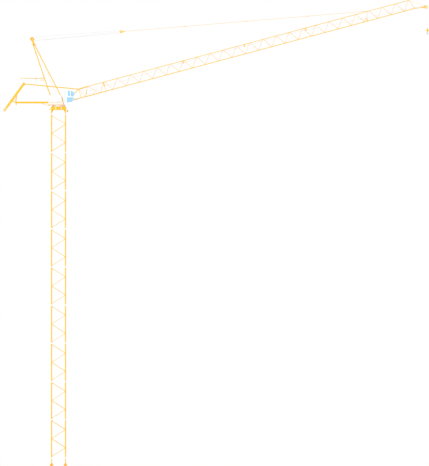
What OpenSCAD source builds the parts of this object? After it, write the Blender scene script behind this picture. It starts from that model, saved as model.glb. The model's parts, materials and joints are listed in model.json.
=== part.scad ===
// Luffing jib tower crane, built as a scale model at half size.
// The mast stands on four feet. The origin is the centre of the sole of the front left foot, +Z is up,
// and the jib points along +X at rest. Modules draw the mast around its own axis and the upper works
// around a point on that axis at deck level, so on_mast() and on_deck() carry them to their places.

/* [Mast] */
// Number of mast sections
section_count = 9; // [3:1:10]
// Height of one mast section, joint to joint
section_pitch = 2900; // [2400:50:3000]
// Distance between the centres of two mast legs
leg_spacing = 1056; // [900:4:1200]
// Side of a square mast leg
leg_size = 78; // [60:2:100]
// Height of the pinned coupling between two sections
coupling_h = 130; // [90:2:160]
// Side of a mast brace
brace_size = 30; // [20:1:44]
// Braces up one side of a section
braces_per_section = 4; // [2:2:6]

/* [Feet] */
// Height from the sole to the first joint of the mast
base_h = 654; // [500:2:900]
// Side of a foot's square base plate
foot_size = 310; // [240:2:400]
// Thickness of a foot's base plate
foot_plate_t = 30; // [16:1:40]
// Height of a foot's rounded stiffeners
foot_dome_h = 225; // [150:1:280]
// Side of the stub that stands in a foot
stub_size = 56; // [40:1:60]

/* [Tower head] */
// Height of the posts between the top joint and the ring carrier
head_post_h = 332; // [280:2:420]
// Height of the ring carrier
carrier_h = 236; // [160:2:300]
// Side of the square ring carrier
carrier_size = 1156; // [1150:2:1300]
// Thickness of the carrier's top and bottom plates
carrier_plate_t = 26; // [16:1:40]
// Height between the carrier and the platform
ring_gap_h = 137; // [120:1:180]
// Outer radius of the slewing ring
ring_r = 480; // [440:2:520]
// Thickness of one race of the slewing ring
race_t = 66; // [50:1:80]

/* [Platform] */
// Height of the slewing platform
platform_h = 182; // [160:1:220]
// Half the width of the platform
platform_half_w = 580; // [560:2:620]
// Reach of the platform behind the mast axis
platform_back = 802; // [780:2:900]
// Reach of the high deck in front of the mast axis
platform_front = 346; // [344:1:360]
// Reach of the low front console
console_front = 566; // [540:1:600]
// Height of the low front console
console_h = 99; // [80:1:100]
// Thickness of deck plates and girder webs
plate_t = 20; // [12:1:30]

/* [Counter-jib] */
// Reach of the counter-jib behind the mast axis
counter_reach = 3272; // [3260:2:3400]
// Height of a counter-jib beam
beam_h = 108; // [80:1:112]
// Width of a counter-jib beam
beam_w = 90; // [70:2:100]
// How far the beams stand above the deck
beam_rise = 61; // [55:1:64]
// Distance of a beam's inner face from the middle
beam_inner_y = 424; // [422:1:430]
// Length of the sloping strut under each beam
strut_l = 530; // [300:10:700]
// How far the strut's foot hangs under the platform
strut_drop = 32; // [30:1:50]

/* [A-frame] */
// Half the spread of the A-frame at its feet
frame_foot_y = 262; // [240:2:280]
// Half the spread of the A-frame at its head
frame_head_y = 118; // [110:1:130]
// Width of an A-frame leg
frame_leg = 64; // [48:2:66]
// Place of the front post
post_x = 315; // [305:1:320]
// Height of the front post
post_h = 255; // [220:5:300]
// Place of the rear feet
rear_foot_x = -446; // [-460:2:-420]
// Place of the head's axle
frame_head_x = -2003; // [-2200:1:-1900]
// Height of the head's axle above the deck
frame_head_z = 4826; // [4600:2:5000]
// Height of the legs' upper ends
frame_top_z = 4330; // [4200:5:4500]
// Height of the service arm behind the legs
arm_z = 1847; // [1700:1:2000]
// How far the service arm's bracket hangs under it
arm_bracket_drop = 138; // [120:1:160]
// Reach of the service arm's beam behind the mast axis
arm_reach = 2626; // [2400:2:2700]
// Radius of the sheaves in the head
frame_sheave_r = 145; // [120:1:160]

/* [Jib] */
// Angle of the jib above level at rest
jib_angle = 15; // [12:1:20]
// Distance between the middle and a bottom chord
jib_half_w = 390; // [388:1:392]
// Depth of the jib, chord to chord
jib_depth = 712; // [650:2:760]
// Length of one bay of lacing
bay = 1042; // [960:2:1060]
// Distance from the pivot to the first node of the top chord
first_node = 3300; // [3200:10:3500]
// Side of the top chord
top_chord = 46; // [36:1:56]
// Side of a bottom chord
bottom_chord = 44; // [34:1:52]
// Side of a lacing bar
lacing = 16; // [12:1:28]
// Side of the end fitting on each chord
fitting = 64; // [56:1:76]
// Place of the pivot in front of the mast axis
pivot_x = 445; // [443:1:450]
// Height of the pivot above the deck
pivot_z = 23; // [20:1:40]
// Distance along the jib from the pivot to the pin of the tie rods
heel_top_s = 1315; // [1280:1:1350]
// Height of that pin above the bottom chords
heel_top_t = 679; // [650:1:700]

/* [Ropes and sheaves] */
// Thickness of a rope
rope_d = 16; // [10:1:20]
// Radius of the sheave at the jib head
head_sheave_r = 137; // [120:1:150]
// Width of a sheave
sheave_w = 38; // [34:1:40]
// Thickness of a pendant bar
pendant_d = 18; // [14:1:32]
// Length of the pendant bars
pendant_l = 18700; // [17600:100:18800]

/* [Ballast lever] */
// Thickness of the lever arms and of the slabs in the side view
lever_d = 160; // [120:2:170]
// Width of one lever arm
lever_w = 56; // [44:2:60]
// Distance between the middle and a lever arm's centre
lever_y = 380; // [378:1:384]
// Height of the lever's pivot above the deck
lever_pivot_z = 84; // [80:1:110]
// How far the lever's top stands in front of its pivot
lever_lean = 616; // [580:1:650]
// Height of the lever's top above its pivot
lever_rise = 1337; // [1300:1:1380]
// Height of a tie rod between the lever and the jib
tie_rod_h = 62; // [40:2:70]
// How far the lever's tail reaches behind its pivot
tail_reach = 889; // [850:1:920]
// How far the lever's tail hangs under its pivot
tail_drop = 722; // [690:1:750]

/* [Cab] */
// Width of the cab
cab_w = 650; // [560:10:760]
// Distance between the middle and the cab's inner wall
cab_inner_y = 500; // [495:5:560]
// Thickness of the cab's walls
cab_wall = 28; // [20:1:36]
// Thickness of the cab's panes
pane_t = 10; // [6:1:14]

/* [Hook] */
// Width of the hook block
hook_block_w = 190; // [170:2:240]
// Height of the hook block
hook_block_h = 190; // [160:2:220]
// Height of the hook block's middle under the jib head sheave's axis
hook_drop = 1780; // [1500:10:3000]

/* [Hidden] */
$fn = 32;
eps = 0.01;
play = 0.3;
air = 6;

// Heights up the tower
leg_y = leg_spacing / 2;
coupling_size = leg_size - 16;
mast_top = base_h + section_count * section_pitch;
carrier_z = mast_top + head_post_h;
ring_z = carrier_z + carrier_h;
deck_z = ring_z + ring_gap_h + platform_h;
// Points of the upper works in the side view, as [x, z] from the mast axis at deck level
jib_pivot = [pivot_x, pivot_z];
lever_pivot = [15 - counter_reach, lever_pivot_z];
lever_top = lever_pivot + [lever_lean, lever_rise];
lever_tail = lever_pivot - [tail_reach, tail_drop];
heel_top = [heel_top_s, heel_top_t];
frame_head = [frame_head_x, frame_head_z];
front_top = [frame_head_x + 203, frame_top_z];
rear_top = [frame_head_x + 98, frame_top_z];
drum_at = [-140, 235];
tie_half = 18;
// Lattice of the jib, along its own axes from the pivot
section_bays = [5, 5, 5, 4, 4];
pendant_k = 20;
pendant_node = [node_s(pendant_k), jib_depth];
head_axis = [28412, -114];
pin_r = 22;
eye_r = 62;
lever_l = norm(lever_tail - lever_top);
lever_axis = (lever_tail - lever_top) / lever_l;

function bays_before(i) = i == 0 ? 0 : bays_before(i - 1) + section_bays[i - 1];
function node_s(k) = first_node + k * bay;
function turned(p, a) = [p[0] * cos(a) - p[1] * sin(a), p[0] * sin(a) + p[1] * cos(a)];
function in_side_view(p) = jib_pivot + turned(p, jib_angle);
function xz(p, y) = [p[0], y, p[1]];
// The line of the luffing gear runs from the pendant node to the head of the A-frame
line_from = in_side_view(pendant_node);
line_l = norm(frame_head - line_from);
line_turn = atan2(frame_head[1] - line_from[1], frame_head[0] - line_from[0]);
block_sheave_r = 108;
block_y = 22;
block_axis = pendant_l + 190;
sheave_pitch = 46;
// Where the hoist rope hangs
fall_r = head_sheave_r - 12;
fall_x = in_side_view(head_axis)[0] + fall_r;
hook_z = in_side_view(head_axis)[1] - hook_drop;

// A square bar between two points
module bar(p, q, w, h = 0) {
    d = q - p;
    l = norm(d);
    translate(p)
        rotate([0, acos(d[2] / l), atan2(d[1], d[0])])
            translate([-w / 2, -(h > 0 ? h : w) / 2, 0])
                cube([w, h > 0 ? h : w, l]);
}

// A round rod between two points
module rod(p, q, r) {
    d = q - p;
    l = norm(d);
    translate(p)
        rotate([0, acos(d[2] / l), atan2(d[1], d[0])])
            cylinder(r = r, h = l);
}

// A plate with its outline in the side view, from y0 to y1
module plate(points, y0, y1) {
    translate([0, y1, 0])
        rotate([90, 0, 0])
            linear_extrude(y1 - y0)
                polygon(points);
}

// A round pin across the crane, from y0 to y1
module pin(p, r, y0, y1) {
    translate([p[0], y1, p[1]])
        rotate([90, 0, 0])
            cylinder(r = r, h = y1 - y0);
}

// A box given by its low and high corners
module block(low, high) {
    translate(low)
        cube(high - low);
}

module both_sides() {
    children();
    mirror([0, 1, 0]) children();
}

module on_mast() {
    translate([leg_y, leg_y, 0]) children();
}

module on_deck() {
    translate([leg_y, leg_y, deck_z]) children();
}

module on_jib() {
    translate([leg_y, leg_y, deck_z])
        translate([jib_pivot[0], 0, jib_pivot[1]])
            rotate([0, -jib_angle, 0])
                children();
}

// Along +X from the pendant node on the jib to the head of the A-frame
module on_line() {
    translate([leg_y, leg_y, deck_z])
        translate([line_from[0], 0, line_from[1]])
            rotate([0, -line_turn, 0])
                children();
}

// Places the children at each corner of the mast
module at_legs() {
    for (x = [-leg_y, leg_y], y = [-leg_y, leg_y])
        translate([x, y, 0]) children();
}

// A grooved sheave with its axle hole, across the crane at p
module sheave(p, y, r, w, bore) {
    groove = rope_d / 2 + 1;
    translate([p[0], y + w / 2, p[1]])
        rotate([90, 0, 0])
            rotate_extrude($fn = 48)
                polygon([[bore, 0], [bore + 26, 0], [bore + 26, w / 4], [r - 34, w / 4], [r - 30, 0], [r, 0],
                         [r - 12 - groove, w / 2 - 4], [r - 12 - groove, w / 2 + 4], [r, w], [r - 30, w],
                         [r - 34, 3 * w / 4], [bore + 26, 3 * w / 4], [bore + 26, w], [bore, w]]);
}

// One foot: base plate, stub and four rounded stiffeners
module foot() {
    half = foot_size / 2;
    translate([-half, -half, 0])
        cube([foot_size, foot_size, foot_plate_t]);
    translate([-stub_size / 2, -stub_size / 2, 0])
        cube([stub_size, stub_size, base_h - coupling_h / 2]);
    for (a = [0, 90])
        rotate([0, 0, a])
            translate([0, 9, foot_plate_t - eps])
                rotate([90, 0, 0])
                    linear_extrude(18)
                        intersection() {
                            scale([half - 12, foot_dome_h - foot_plate_t]) circle(1, $fn = 40);
                            translate([-half, 0]) square([foot_size, foot_dome_h]);
                        }
}

module foundation_anchors() {
    color("orange")
        at_legs() foot();
}

// One side of a mast section: the zigzag of braces between two legs
module zigzag(low, high) {
    step = (high - low) / braces_per_section;
    end_gap = 0.8 * brace_size;
    for (i = [0:braces_per_section - 1]) {
        from = i % 2 == 0 ? -leg_y : leg_y;
        bar([from, 0, high - i * step - (i == 0 ? end_gap : 0)],
            [-from, 0, high - (i + 1) * step + (i == braces_per_section - 1 ? end_gap : 0)], brace_size);
    }
}

module mast_section(i) {
    low = base_h + (i - 1) * section_pitch + coupling_h / 2;
    high = base_h + i * section_pitch - coupling_h / 2;
    color("orange") {
        at_legs()
            translate([-leg_size / 2, -leg_size / 2, low])
                cube([leg_size, leg_size, high - low]);
        for (y = [-leg_y, leg_y])
            translate([0, y, 0]) zigzag(low, high);
        for (x = [-leg_y, leg_y])
            translate([x, 0, 0]) rotate([0, 0, 90]) zigzag(low, high);
    }
}

// Pinned couplings in every joint of the mast
module mast_couplings() {
    color("lightgray")
        for (i = [0:section_count])
            translate([0, 0, base_h + i * section_pitch])
                at_legs() {
                    translate([-coupling_size / 2, -coupling_size / 2, -coupling_h / 2])
                        cube([coupling_size, coupling_size, coupling_h]);
                    for (z = [-coupling_h / 4, coupling_h / 4])
                        pin([0, z], 13, -coupling_size / 2 - 12, coupling_size / 2 + 12);
                }
}

// Posts with gussets, and the ribbed box that carries the slewing ring
module tower_head() {
    low = mast_top + coupling_h / 2;
    inside = leg_y - leg_size / 2;
    half = carrier_size / 2;
    hole_r = ring_r - race_t - 40;
    color("orange") {
        at_legs()
            translate([-leg_size / 2, -leg_size / 2, low])
                cube([leg_size, leg_size, carrier_z + eps - low]);
        for (a = [0:90:270])
            rotate([0, 0, a])
                for (side = [-1, 1])
                    mirror([side < 0 ? 1 : 0, 0, 0])
                        plate([[inside + eps, carrier_z + eps], [inside - 99, carrier_z + eps],
                               [inside - 79, carrier_z - 50], [inside - 26, carrier_z - 120],
                               [inside + eps, carrier_z - 190]], leg_y - 8, leg_y + 8);
        difference() {
            union() {
                for (z = [carrier_z, ring_z - carrier_plate_t])
                    translate([-half, -half, z])
                        cube([carrier_size, carrier_size, carrier_plate_t]);
                translate([0, 0, carrier_z])
                    cylinder(r = hole_r + 30, h = carrier_h, $fn = 48);
                for (a = [0:90:270])
                    rotate([0, 0, a])
                        for (y = [-half + 12, -0.31 * carrier_size, 0, 0.31 * carrier_size])
                            translate([hole_r + 10, y - 10, carrier_z + eps])
                                cube([half - hole_r - 30, 20, carrier_h - 2 * eps]);
            }
            translate([0, 0, carrier_z - 1])
                cylinder(r = hole_r, h = carrier_h + 2, $fn = 48);
        }
        // Cable guides on two sides
        bar([-half + 30, 0, carrier_z + 0.6 * carrier_h], [-half - 130, 0, carrier_z + 20], 26);
        block([-half - 150, -34, carrier_z - 6], [-half - 112, 34, carrier_z + 44]);
        bar([leg_y + leg_size / 2 - 1, leg_y, carrier_z - 76], [half + 90, leg_y, carrier_z - 76], 24);
        block([half + 64, leg_y - 24, carrier_z - 142], [half + 150, leg_y + 24, carrier_z - 9]);
    }
}

// Fixed race of the slewing ring, on the ring carrier
module slewing_ring_outer() {
    color("gainsboro")
        translate([0, 0, ring_z])
            difference() {
                cylinder(r = ring_r, h = ring_gap_h - 40, $fn = 64);
                translate([0, 0, -1])
                    cylinder(r = ring_r - race_t, h = ring_gap_h, $fn = 64);
            }
}

// Turning race, under the platform and inside the fixed one
module slewing_ring_inner() {
    outer = ring_r - race_t - play;
    color("gainsboro")
        translate([0, 0, ring_z + air])
            difference() {
                union() {
                    cylinder(r = outer, h = ring_gap_h - air, $fn = 64);
                    translate([0, 0, ring_gap_h - air - 28])
                        cylinder(r = ring_r, h = 28, $fn = 64);
                }
                translate([0, 0, -1])
                    cylinder(r = outer - race_t, h = ring_gap_h + 2, $fn = 64);
            }
}

// A fork's two cheeks with the pin fixed in them, standing from height z up to p
module fork(p, z, y, eye_w, cheek_t, r = eye_r) {
    for (c = [y - eye_w / 2 - air - cheek_t, y + eye_w / 2 + air]) {
        pin(p, r, c, c + cheek_t);
        block([p[0] - r, c, z], [p[0] + r, c + cheek_t, p[1]]);
    }
    pin(p, pin_r, y - eye_w / 2 - air - cheek_t - 6, y + eye_w / 2 + air + cheek_t + 6);
}

// Girders, decks and front console that turn on the ring
module slewing_platform() {
    w = platform_half_w;
    inner = beam_inner_y;
    low = -platform_h;
    console_top = low + console_h;
    color("orange") {
        block([-platform_back, -w, -plate_t], [platform_front, w, 0]);
        block([-platform_back, -w, low], [console_front, w, low + plate_t]);
        both_sides() {
            block([-platform_back, w - 60, low + eps], [platform_front, w - 60 + plate_t, -eps]);
            block([-platform_back, inner - 160, low + eps], [platform_front, inner - 160 + plate_t, -eps]);
            block([platform_front - plate_t, w - 60, low + eps],
                  [console_front, w - 60 + plate_t, console_top - eps]);
            block([platform_front - plate_t, inner - 160, low + eps],
                  [console_front, inner - 160 + plate_t, console_top - eps]);
            fork(jib_pivot, console_top - eps, jib_half_w, 56, 26);
        }
        for (x = [-platform_back, rear_foot_x - plate_t / 2, post_x - plate_t / 2])
            block([x, -w + 50, low + eps], [x + plate_t, w - 50, -eps]);
        block([platform_front - 2 * eps, -w, console_top - plate_t], [console_front, w, console_top]);
        block([console_front - plate_t, -w + 50, low + eps], [console_front, w - 50, console_top - eps]);
    }
}

// Two long beams with struts, cross beams, deck and the lever's brackets
module counter_jib() {
    top = beam_rise;
    low = top - beam_h;
    inner = beam_inner_y;
    outer = inner + beam_w;
    span = counter_reach - platform_back;
    strut_y = inner + 0.6 * beam_w;
    strut_path = [for (p = [[-strut_l, platform_h + low + 8], [-40, -strut_drop], [168, -strut_drop]])
                      p - [platform_back, platform_h]];
    color("orange") {
        both_sides() {
            block([-counter_reach, inner, low], [-platform_back, outer, top]);
            for (i = [0:1])
                bar(xz(strut_path[i], strut_y), xz(strut_path[i + 1], strut_y), 26 - 2 * i);
            block(xz(strut_path[2] - [50, 0], strut_y - 16),
                  xz(strut_path[2] + [10, strut_drop], strut_y + 16));
            block([30 - counter_reach, inner + 20, low - 150], [76 - counter_reach, outer - 20, low + eps]);
            pin(lever_pivot, eye_r, inner + 8, inner + 40);
            block([lever_pivot[0] - eye_r, inner + 8, low],
                  [lever_pivot[0] + eye_r, inner + 40, lever_pivot[1]]);
            pin(lever_pivot, pin_r + 4, lever_y - lever_w / 2 - 20, inner + 52);
        }
        for (share = [0.03, 0.33, 0.63, 0.76]) {
            x = -platform_back - share * span;
            block([x - 50, -inner - eps, low + 14], [x, inner + eps, top - 14]);
        }
        block([-platform_back - 0.773 * span, -inner - eps, top - 14 - eps],
              [-platform_back - 12, inner + eps, top - 2]);
    }
}

// Upright front posts and the long legs that lean back to the head
module a_frame_front_legs() {
    foot = [post_x, post_h];
    post_half = frame_leg / 2 + 2;
    color("orange")
        both_sides() {
            block([post_x - post_half, frame_foot_y - post_half, 0],
                  [post_x + post_half, frame_foot_y + post_half, post_h]);
            block([post_x - 36, frame_foot_y - 50, 0], [post_x + 36, frame_foot_y + 50, 18]);
            bar(xz(foot + [0, -12], frame_foot_y), xz(front_top, frame_head_y), frame_leg);
        }
}

// Rear legs with their cross ties and the braces between the legs
module a_frame_rear_legs() {
    foot = [rear_foot_x, 0];
    rise = rear_top - foot;
    spread = frame_head_y - frame_foot_y;
    color("orange") {
        both_sides() {
            bar(xz(foot + 0.012 * rise, frame_foot_y), xz(rear_top, frame_head_y), frame_leg);
            block([rear_foot_x - 60, frame_foot_y - 50, 0], [rear_foot_x + 60, frame_foot_y + 50, 70]);
        }
        for (share = [0.2, (arm_z - arm_bracket_drop) / rise[1], arm_z / rise[1], 0.66, 0.86]) {
            at = foot + share * rise;
            y = frame_foot_y + share * spread;
            block([at[0] - tie_half, -y, at[1] - tie_half], [at[0] + tie_half, y, at[1] + tie_half]);
        }
    }
}

// Cheeks, cross piece and axle that hold the head sheaves
module a_frame_head() {
    cheek = frame_head_y - frame_leg / 2 - 14;
    color("orange") {
        both_sides() {
            plate([rear_top + [-30, 0], front_top + [44, 0], frame_head + [62, 0], frame_head + [-50, 0]],
                  cheek, cheek + 14);
            pin(frame_head, 62, cheek, cheek + 14);
        }
        block([front_top[0] - 90, -frame_head_y - 30, front_top[1] + 16],
              [front_top[0] + 44, frame_head_y + 30, front_top[1] + 42]);
        pin(frame_head, pin_r, -cheek - 30, cheek + 30);
        block([frame_head[0] - 68, -frame_head_y - 60, frame_head[1] - 418],
              [frame_head[0] + 282, -cheek, frame_head[1] - 392]);
    }
}

module a_frame_sheaves() {
    color("orange")
        for (y = [-sheave_pitch, 0, sheave_pitch])
            sheave(frame_head, y, frame_sheave_r, sheave_w, pin_r + play);
}

// Where a rear leg's centre is at height z
function rear_leg_x(z) = rear_foot_x + (rear_top[0] - rear_foot_x) * z / rear_top[1];

// Fixed beam behind the A-frame with a trolley, for lifting parts onto the counter-jib
module service_arm() {
    z = arm_z;
    root = rear_leg_x(z) - tie_half;
    bracket_z = z - arm_bracket_drop;
    bracket_root = rear_leg_x(bracket_z) - tie_half;
    tip = -arm_reach;
    trolley = [tip + 836, tip + 958];
    color("orange") {
        for (low = [z - 22, z + 12])
            block([tip, -20, low], [root, 20, low + 10]);
        block([tip, -6, z - 13], [root, 6, z + 13]);
        block([bracket_root - 350, -16, bracket_z - 18], [bracket_root, 16, bracket_z + 18]);
        bar([bracket_root - 330, 0, bracket_z], [bracket_root - 280, 0, z - 16], 18);
        block([trolley[0], -50, z - 60], [trolley[1], 50, z - 22 + eps]);
        block([tip - 254, -12, z - 14], [tip + 6, 12, z + 14]);
        pin([tip - 224, z - 40], 34, -12, 12);
    }
}

// Drum, motor and frame of the luffing winch
module luffing_winch() {
    base = 46;
    at = drum_at;
    color("gainsboro") {
        block([at[0] - 190, -210, 0], [at[0] + 190, 210, base]);
        pin(at, 90, -170, 170);
        for (y = [-186, 170]) {
            pin(at, 150, y, y + 16);
            block([at[0] - 60, y + (y < 0 ? -24 : 16), base - eps],
                  [at[0] + 60, y + (y < 0 ? 0 : 40), at[1] + 30]);
        }
        pin(at, 30, -216, 330);
        block([at[0] - 130, 330, 0], [at[0] + 130, 420, at[1] + 120]);
        pin([at[0], at[1] + 40], 70, 420, 560);
    }
}

// Rope from the winch up to the middle sheave of the head
module luffing_rope_lead() {
    from = drum_at + turned([90 + rope_d / 2 + play, 0], 19);
    to = frame_head + turned([frame_sheave_r - 12, 0], 19);
    color("dimgray")
        rod(xz(from, 0), xz(to, 0), rope_d / 2);
}

// Closed cabinet beside the A-frame, on a plinth
module machinery_cabinet() {
    x0 = -741;
    x1 = 209;
    y0 = -platform_half_w - 20;
    y1 = -frame_foot_y - 70;
    color("whitesmoke") {
        block([x0 + 30, y0 + 40, 0], [x1 - 30, y1 - 10, 62]);
        block([x0, y0, 61], [x1, y1, 530]);
        block([x0 - 8, y0 - 8, 529], [x1 + 8, y1 + 8, 547]);
        for (i = [0:2])
            block([x0 + 34 + i * 304, y0 - 6, 90], [x0 + 34 + i * 304 + 274, y0 + eps, 500]);
    }
}

// Outline of the cab in the side view, from the mast axis at deck level
cab_outline = [[429, -83], [1113, -83], [1144, 198], [1265, 388], [1235, 791], [1037, 905], [429, 905]];

// Beams that reach from the front console under the cab
module cab_support() {
    low = -platform_h;
    color("white") {
        for (x = [440, 526])
            block([x, -cab_inner_y - cab_w + 20, low + 10], [x + 40, -platform_half_w, low + console_h]);
        block([440, 20 - cab_inner_y - cab_w, low + 10], [900, 60 - cab_inner_y - cab_w, low + console_h]);
    }
}

function inset_point(a, b, c, d) =
    let (u = (b - a) / norm(b - a),
         v = (c - b) / norm(c - b),
         turn = u[0] * v[1] - u[1] * v[0])
    b + d * (v - u) / turn;

// The outline moved inwards by d
function inset(points, d) =
    let (n = len(points))
    [for (i = [0:n - 1]) inset_point(points[(i + n - 1) % n], points[i], points[(i + 1) % n], d)];

rear_pane = [[718, 500], [885, 470], [885, 872], [718, 872]];
front_pane = [[939, 466], [1128, 430], [1212, 600], [1200, 770], [1030, 862], [939, 862]];
low_pane = [[650, -20], [1076, 60], [1104, 212], [1206, 372], [650, 404]];

module panes(d, y0, y1) {
    for (p = [rear_pane, front_pane, low_pane])
        plate(inset(p, d), y0, y1);
}

// The front windows are cut with boxes across the cab
module front_cut(d) {
    y0 = -cab_inner_y - cab_w + cab_wall + 20 + d;
    y1 = -cab_inner_y - cab_wall - 20 - d;
    block([1050, y0, -20 + d], [1400, y1, 370 - d]);
    block([1050, y0, 430 + d], [1400, y1, 780 - d]);
}

module cab_body() {
    y0 = -cab_inner_y - cab_w;
    y1 = -cab_inner_y;
    rim = 26;
    color("white") {
        for (z = [-83, 905 - rim])
            block([cab_outline[0][0], y0 - rim, z], [z < 0 ? 1100 : 1030, y0 + eps, z + rim]);
        difference() {
            plate(cab_outline, y0, y1);
            plate(inset(cab_outline, cab_wall), y0 + cab_wall, y1 - cab_wall);
            panes(0, y0 - 1, y1 + 1);
            front_cut(0);
        }
    }
}

module cab_windows() {
    y0 = -cab_inner_y - cab_w;
    y1 = -cab_inner_y;
    gap = (cab_wall - pane_t) / 2;
    color("lightskyblue") {
        panes(play, y0 + gap, y0 + gap + pane_t);
        panes(play, y1 - gap - pane_t, y1 - gap);
        intersection() {
            difference() {
                plate(inset(cab_outline, gap), y0 + cab_wall, y1 - cab_wall);
                plate(inset(cab_outline, gap + pane_t), y0 + 1, y1 - 1);
            }
            front_cut(play);
        }
    }
}

// Pivot eyes, side frames and struts of the jib's lowest section
module jib_heel() {
    y = jib_half_w;
    strut_foot = [0.503 * first_node, y, 0];
    bend = [0.606 * first_node, 0.65 * y, jib_depth];
    last_foot = [0.864 * first_node, y, 0];
    end_s = first_node - 34;
    low_cross_s = 0.127 * first_node;
    color("orange") {
        both_sides() {
            difference() {
                union() {
                    pin([0, 0], eye_r, y - 28, y + 28);
                    bar([20, y, 0], [first_node, y, 0], 54, bottom_chord);
                    bar([30, y, 30 * heel_top[1] / heel_top[0]], xz(heel_top, y), 50, bottom_chord - 6);
                }
                pin([0, 0], pin_r + play, y - 30, y + 30);
            }
            pin(heel_top, 50, y - 26, y + 26);
            bar(xz(heel_top, y), [heel_top[0], y, 0], 30);
            bar(xz(heel_top, y), strut_foot, 22);
            bar(xz(heel_top, y), bend, 54, 42);
            bar(bend, [first_node - 60, 24, jib_depth], 40);
            block(bend - [34, 30, 30], bend + [34, 30, 30]);
            bar(strut_foot, bend, 20);
            bar(bend, last_foot, 18);
            bar(last_foot, [first_node - 60, 20, jib_depth], 16);
            bar([end_s, 12, jib_depth], [end_s, y, 0], 24);
            pin(heel_top, pin_r, y + 20, y + 84);
        }
        bar(xz(heel_top, -y), xz(heel_top, y), 46);
        for (s = [low_cross_s, heel_top[0], strut_foot[0], last_foot[0], end_s])
            bar([s, -y, 0], [s, y, 0], 30);
        bar([low_cross_s, -y, 0], [heel_top[0], y, 0], 24);
        bar([strut_foot[0], -y, 0], [last_foot[0], y, 0], 24);
        bar([bend[0], -bend[1], bend[2]], bend, 32);
        bar([first_node - 90, 0, jib_depth], [first_node, 0, jib_depth], fitting);
    }
}

// A lattice stretch of the jib between two nodes of the top chord
module jib_section(i) {
    k0 = bays_before(i - 1);
    k1 = bays_before(i);
    s0 = node_s(k0);
    s1 = node_s(k1);
    y = jib_half_w;
    inset_s = 36;
    color("orange") {
        bar([s0, 0, jib_depth], [s1, 0, jib_depth], top_chord);
        both_sides()
            bar([s0, y, 0], [s1, y, 0], bottom_chord);
        for (s = [s0, s1 - 90])
            translate([s, 0, 0]) {
                translate([0, 0, jib_depth])
                    block([0, -fitting / 2, -fitting / 2], [90, fitting / 2, fitting / 2]);
                both_sides()
                    block([0, y - fitting / 2, -fitting / 2], [90, y + fitting / 2, fitting / 2]);
            }
        for (k = [k0:k1 - 1]) {
            mid = node_s(k + 0.5);
            both_sides() {
                bar([node_s(k) + inset_s, 0, jib_depth], [mid - 8, y, 0], lacing);
                bar([mid + 8, y, 0], [node_s(k + 1) - inset_s, 0, jib_depth], lacing);
            }
            bar([mid, -y, 0], [mid, y, 0], lacing);
            if (k < k1 - 1)
                bar([mid, -y, 0], [node_s(k + 1.5), y, 0], lacing);
        }
        if (k0 <= pendant_k && pendant_k < k1) {
            pin(pendant_node, 42, -30, 30);
            pin(pendant_node, pin_r, -pendant_y - 22, pendant_y + 22);
        }
    }
}

// Tapered nose of the jib with the cheeks of the head sheave
module jib_head() {
    s0 = node_s(bays_before(5));
    y = jib_half_w;
    bend = s0 + 330;
    cheek = sheave_w / 2 + 4;
    color("orange") {
        both_sides() {
            bar([s0, y, 0], [bend, y, 0], bottom_chord);
            block([s0, y - fitting / 2, -fitting / 2], [s0 + 90, y + fitting / 2, fitting / 2]);
            bar([s0 + 30, 10, jib_depth], [bend - 20, y, 0], lacing);
            bar([bend - 10, y, 0], [head_axis[0] - 240, cheek + 20, head_axis[1] + 36], bottom_chord);
            bar([s0 + 40, 16, jib_depth], [head_axis[0] - 20, cheek + 8, head_axis[1] + 50], 14);
            plate([for (p = [[-300, 90], [-300, 0], [-10, -58], [40, 46], [-10, 70]]) head_axis + p],
                  cheek, cheek + 14);
            pin(head_axis, 60, cheek, cheek + 14);
        }
        pin(head_axis, pin_r, -cheek - 26, cheek + 26);
        block([s0, -fitting / 2, jib_depth - fitting / 2], [s0 + 70, fitting / 2, jib_depth + fitting / 2]);
        for (s = [s0 + 167, bend])
            bar([s, -y, 0], [s, y, 0], lacing + 6);
    }
}

// Where the hoist rope leaves the drum and runs over the rollers, as [s, t] of the rope's centre
hoist_drum = [1850, 232];
hoist_drum_r = 92;
roller_r = 34;
roller_pitch = 4828;
roller_first = 9497;
rollers = [[roller_first, 540], [roller_first + roller_pitch, 536], [roller_first + 2 * roller_pitch, 532],
           [23846, 204]];
over_roller = [0, roller_r + rope_d / 2 + 2 + play];

// Drum, gearbox, motor and cross beams of the hoist winch in the heel
module hoist_winch() {
    at = hoist_drum;
    seat = bottom_chord / 2 + 5;
    y = jib_half_w;
    color("gainsboro") {
        for (s = [at[0] - 110, at[0] + 70, at[0] + 640])
            block([s, -y - 10, seat], [s + 50, y + 10, seat + 40]);
        pin(at, hoist_drum_r, -230, 230);
        for (side = [-1, 1]) {
            pin(at, 140, side * 238 - 8, side * 238 + 8);
            block([at[0] - 100, side * 258 - 12, seat + 39], [at[0] + 100, side * 258 + 12, at[1] + 40]);
        }
        pin(at, 28, -270, 270);
        for (yy = [-150, 110])
            block([at[0] + 100, yy, seat], [at[0] + 660, yy + 40, seat + 30]);
        block([at[0] + 330, -170, seat + 29], [at[0] + 560, 150, at[1] + 60]);
        pin(at + [620, 10], 74, -170, 150);
        block([at[0] + 556, -120, seat + 29], [at[0] + 640, 100, at[1] - 20]);
    }
}

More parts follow.
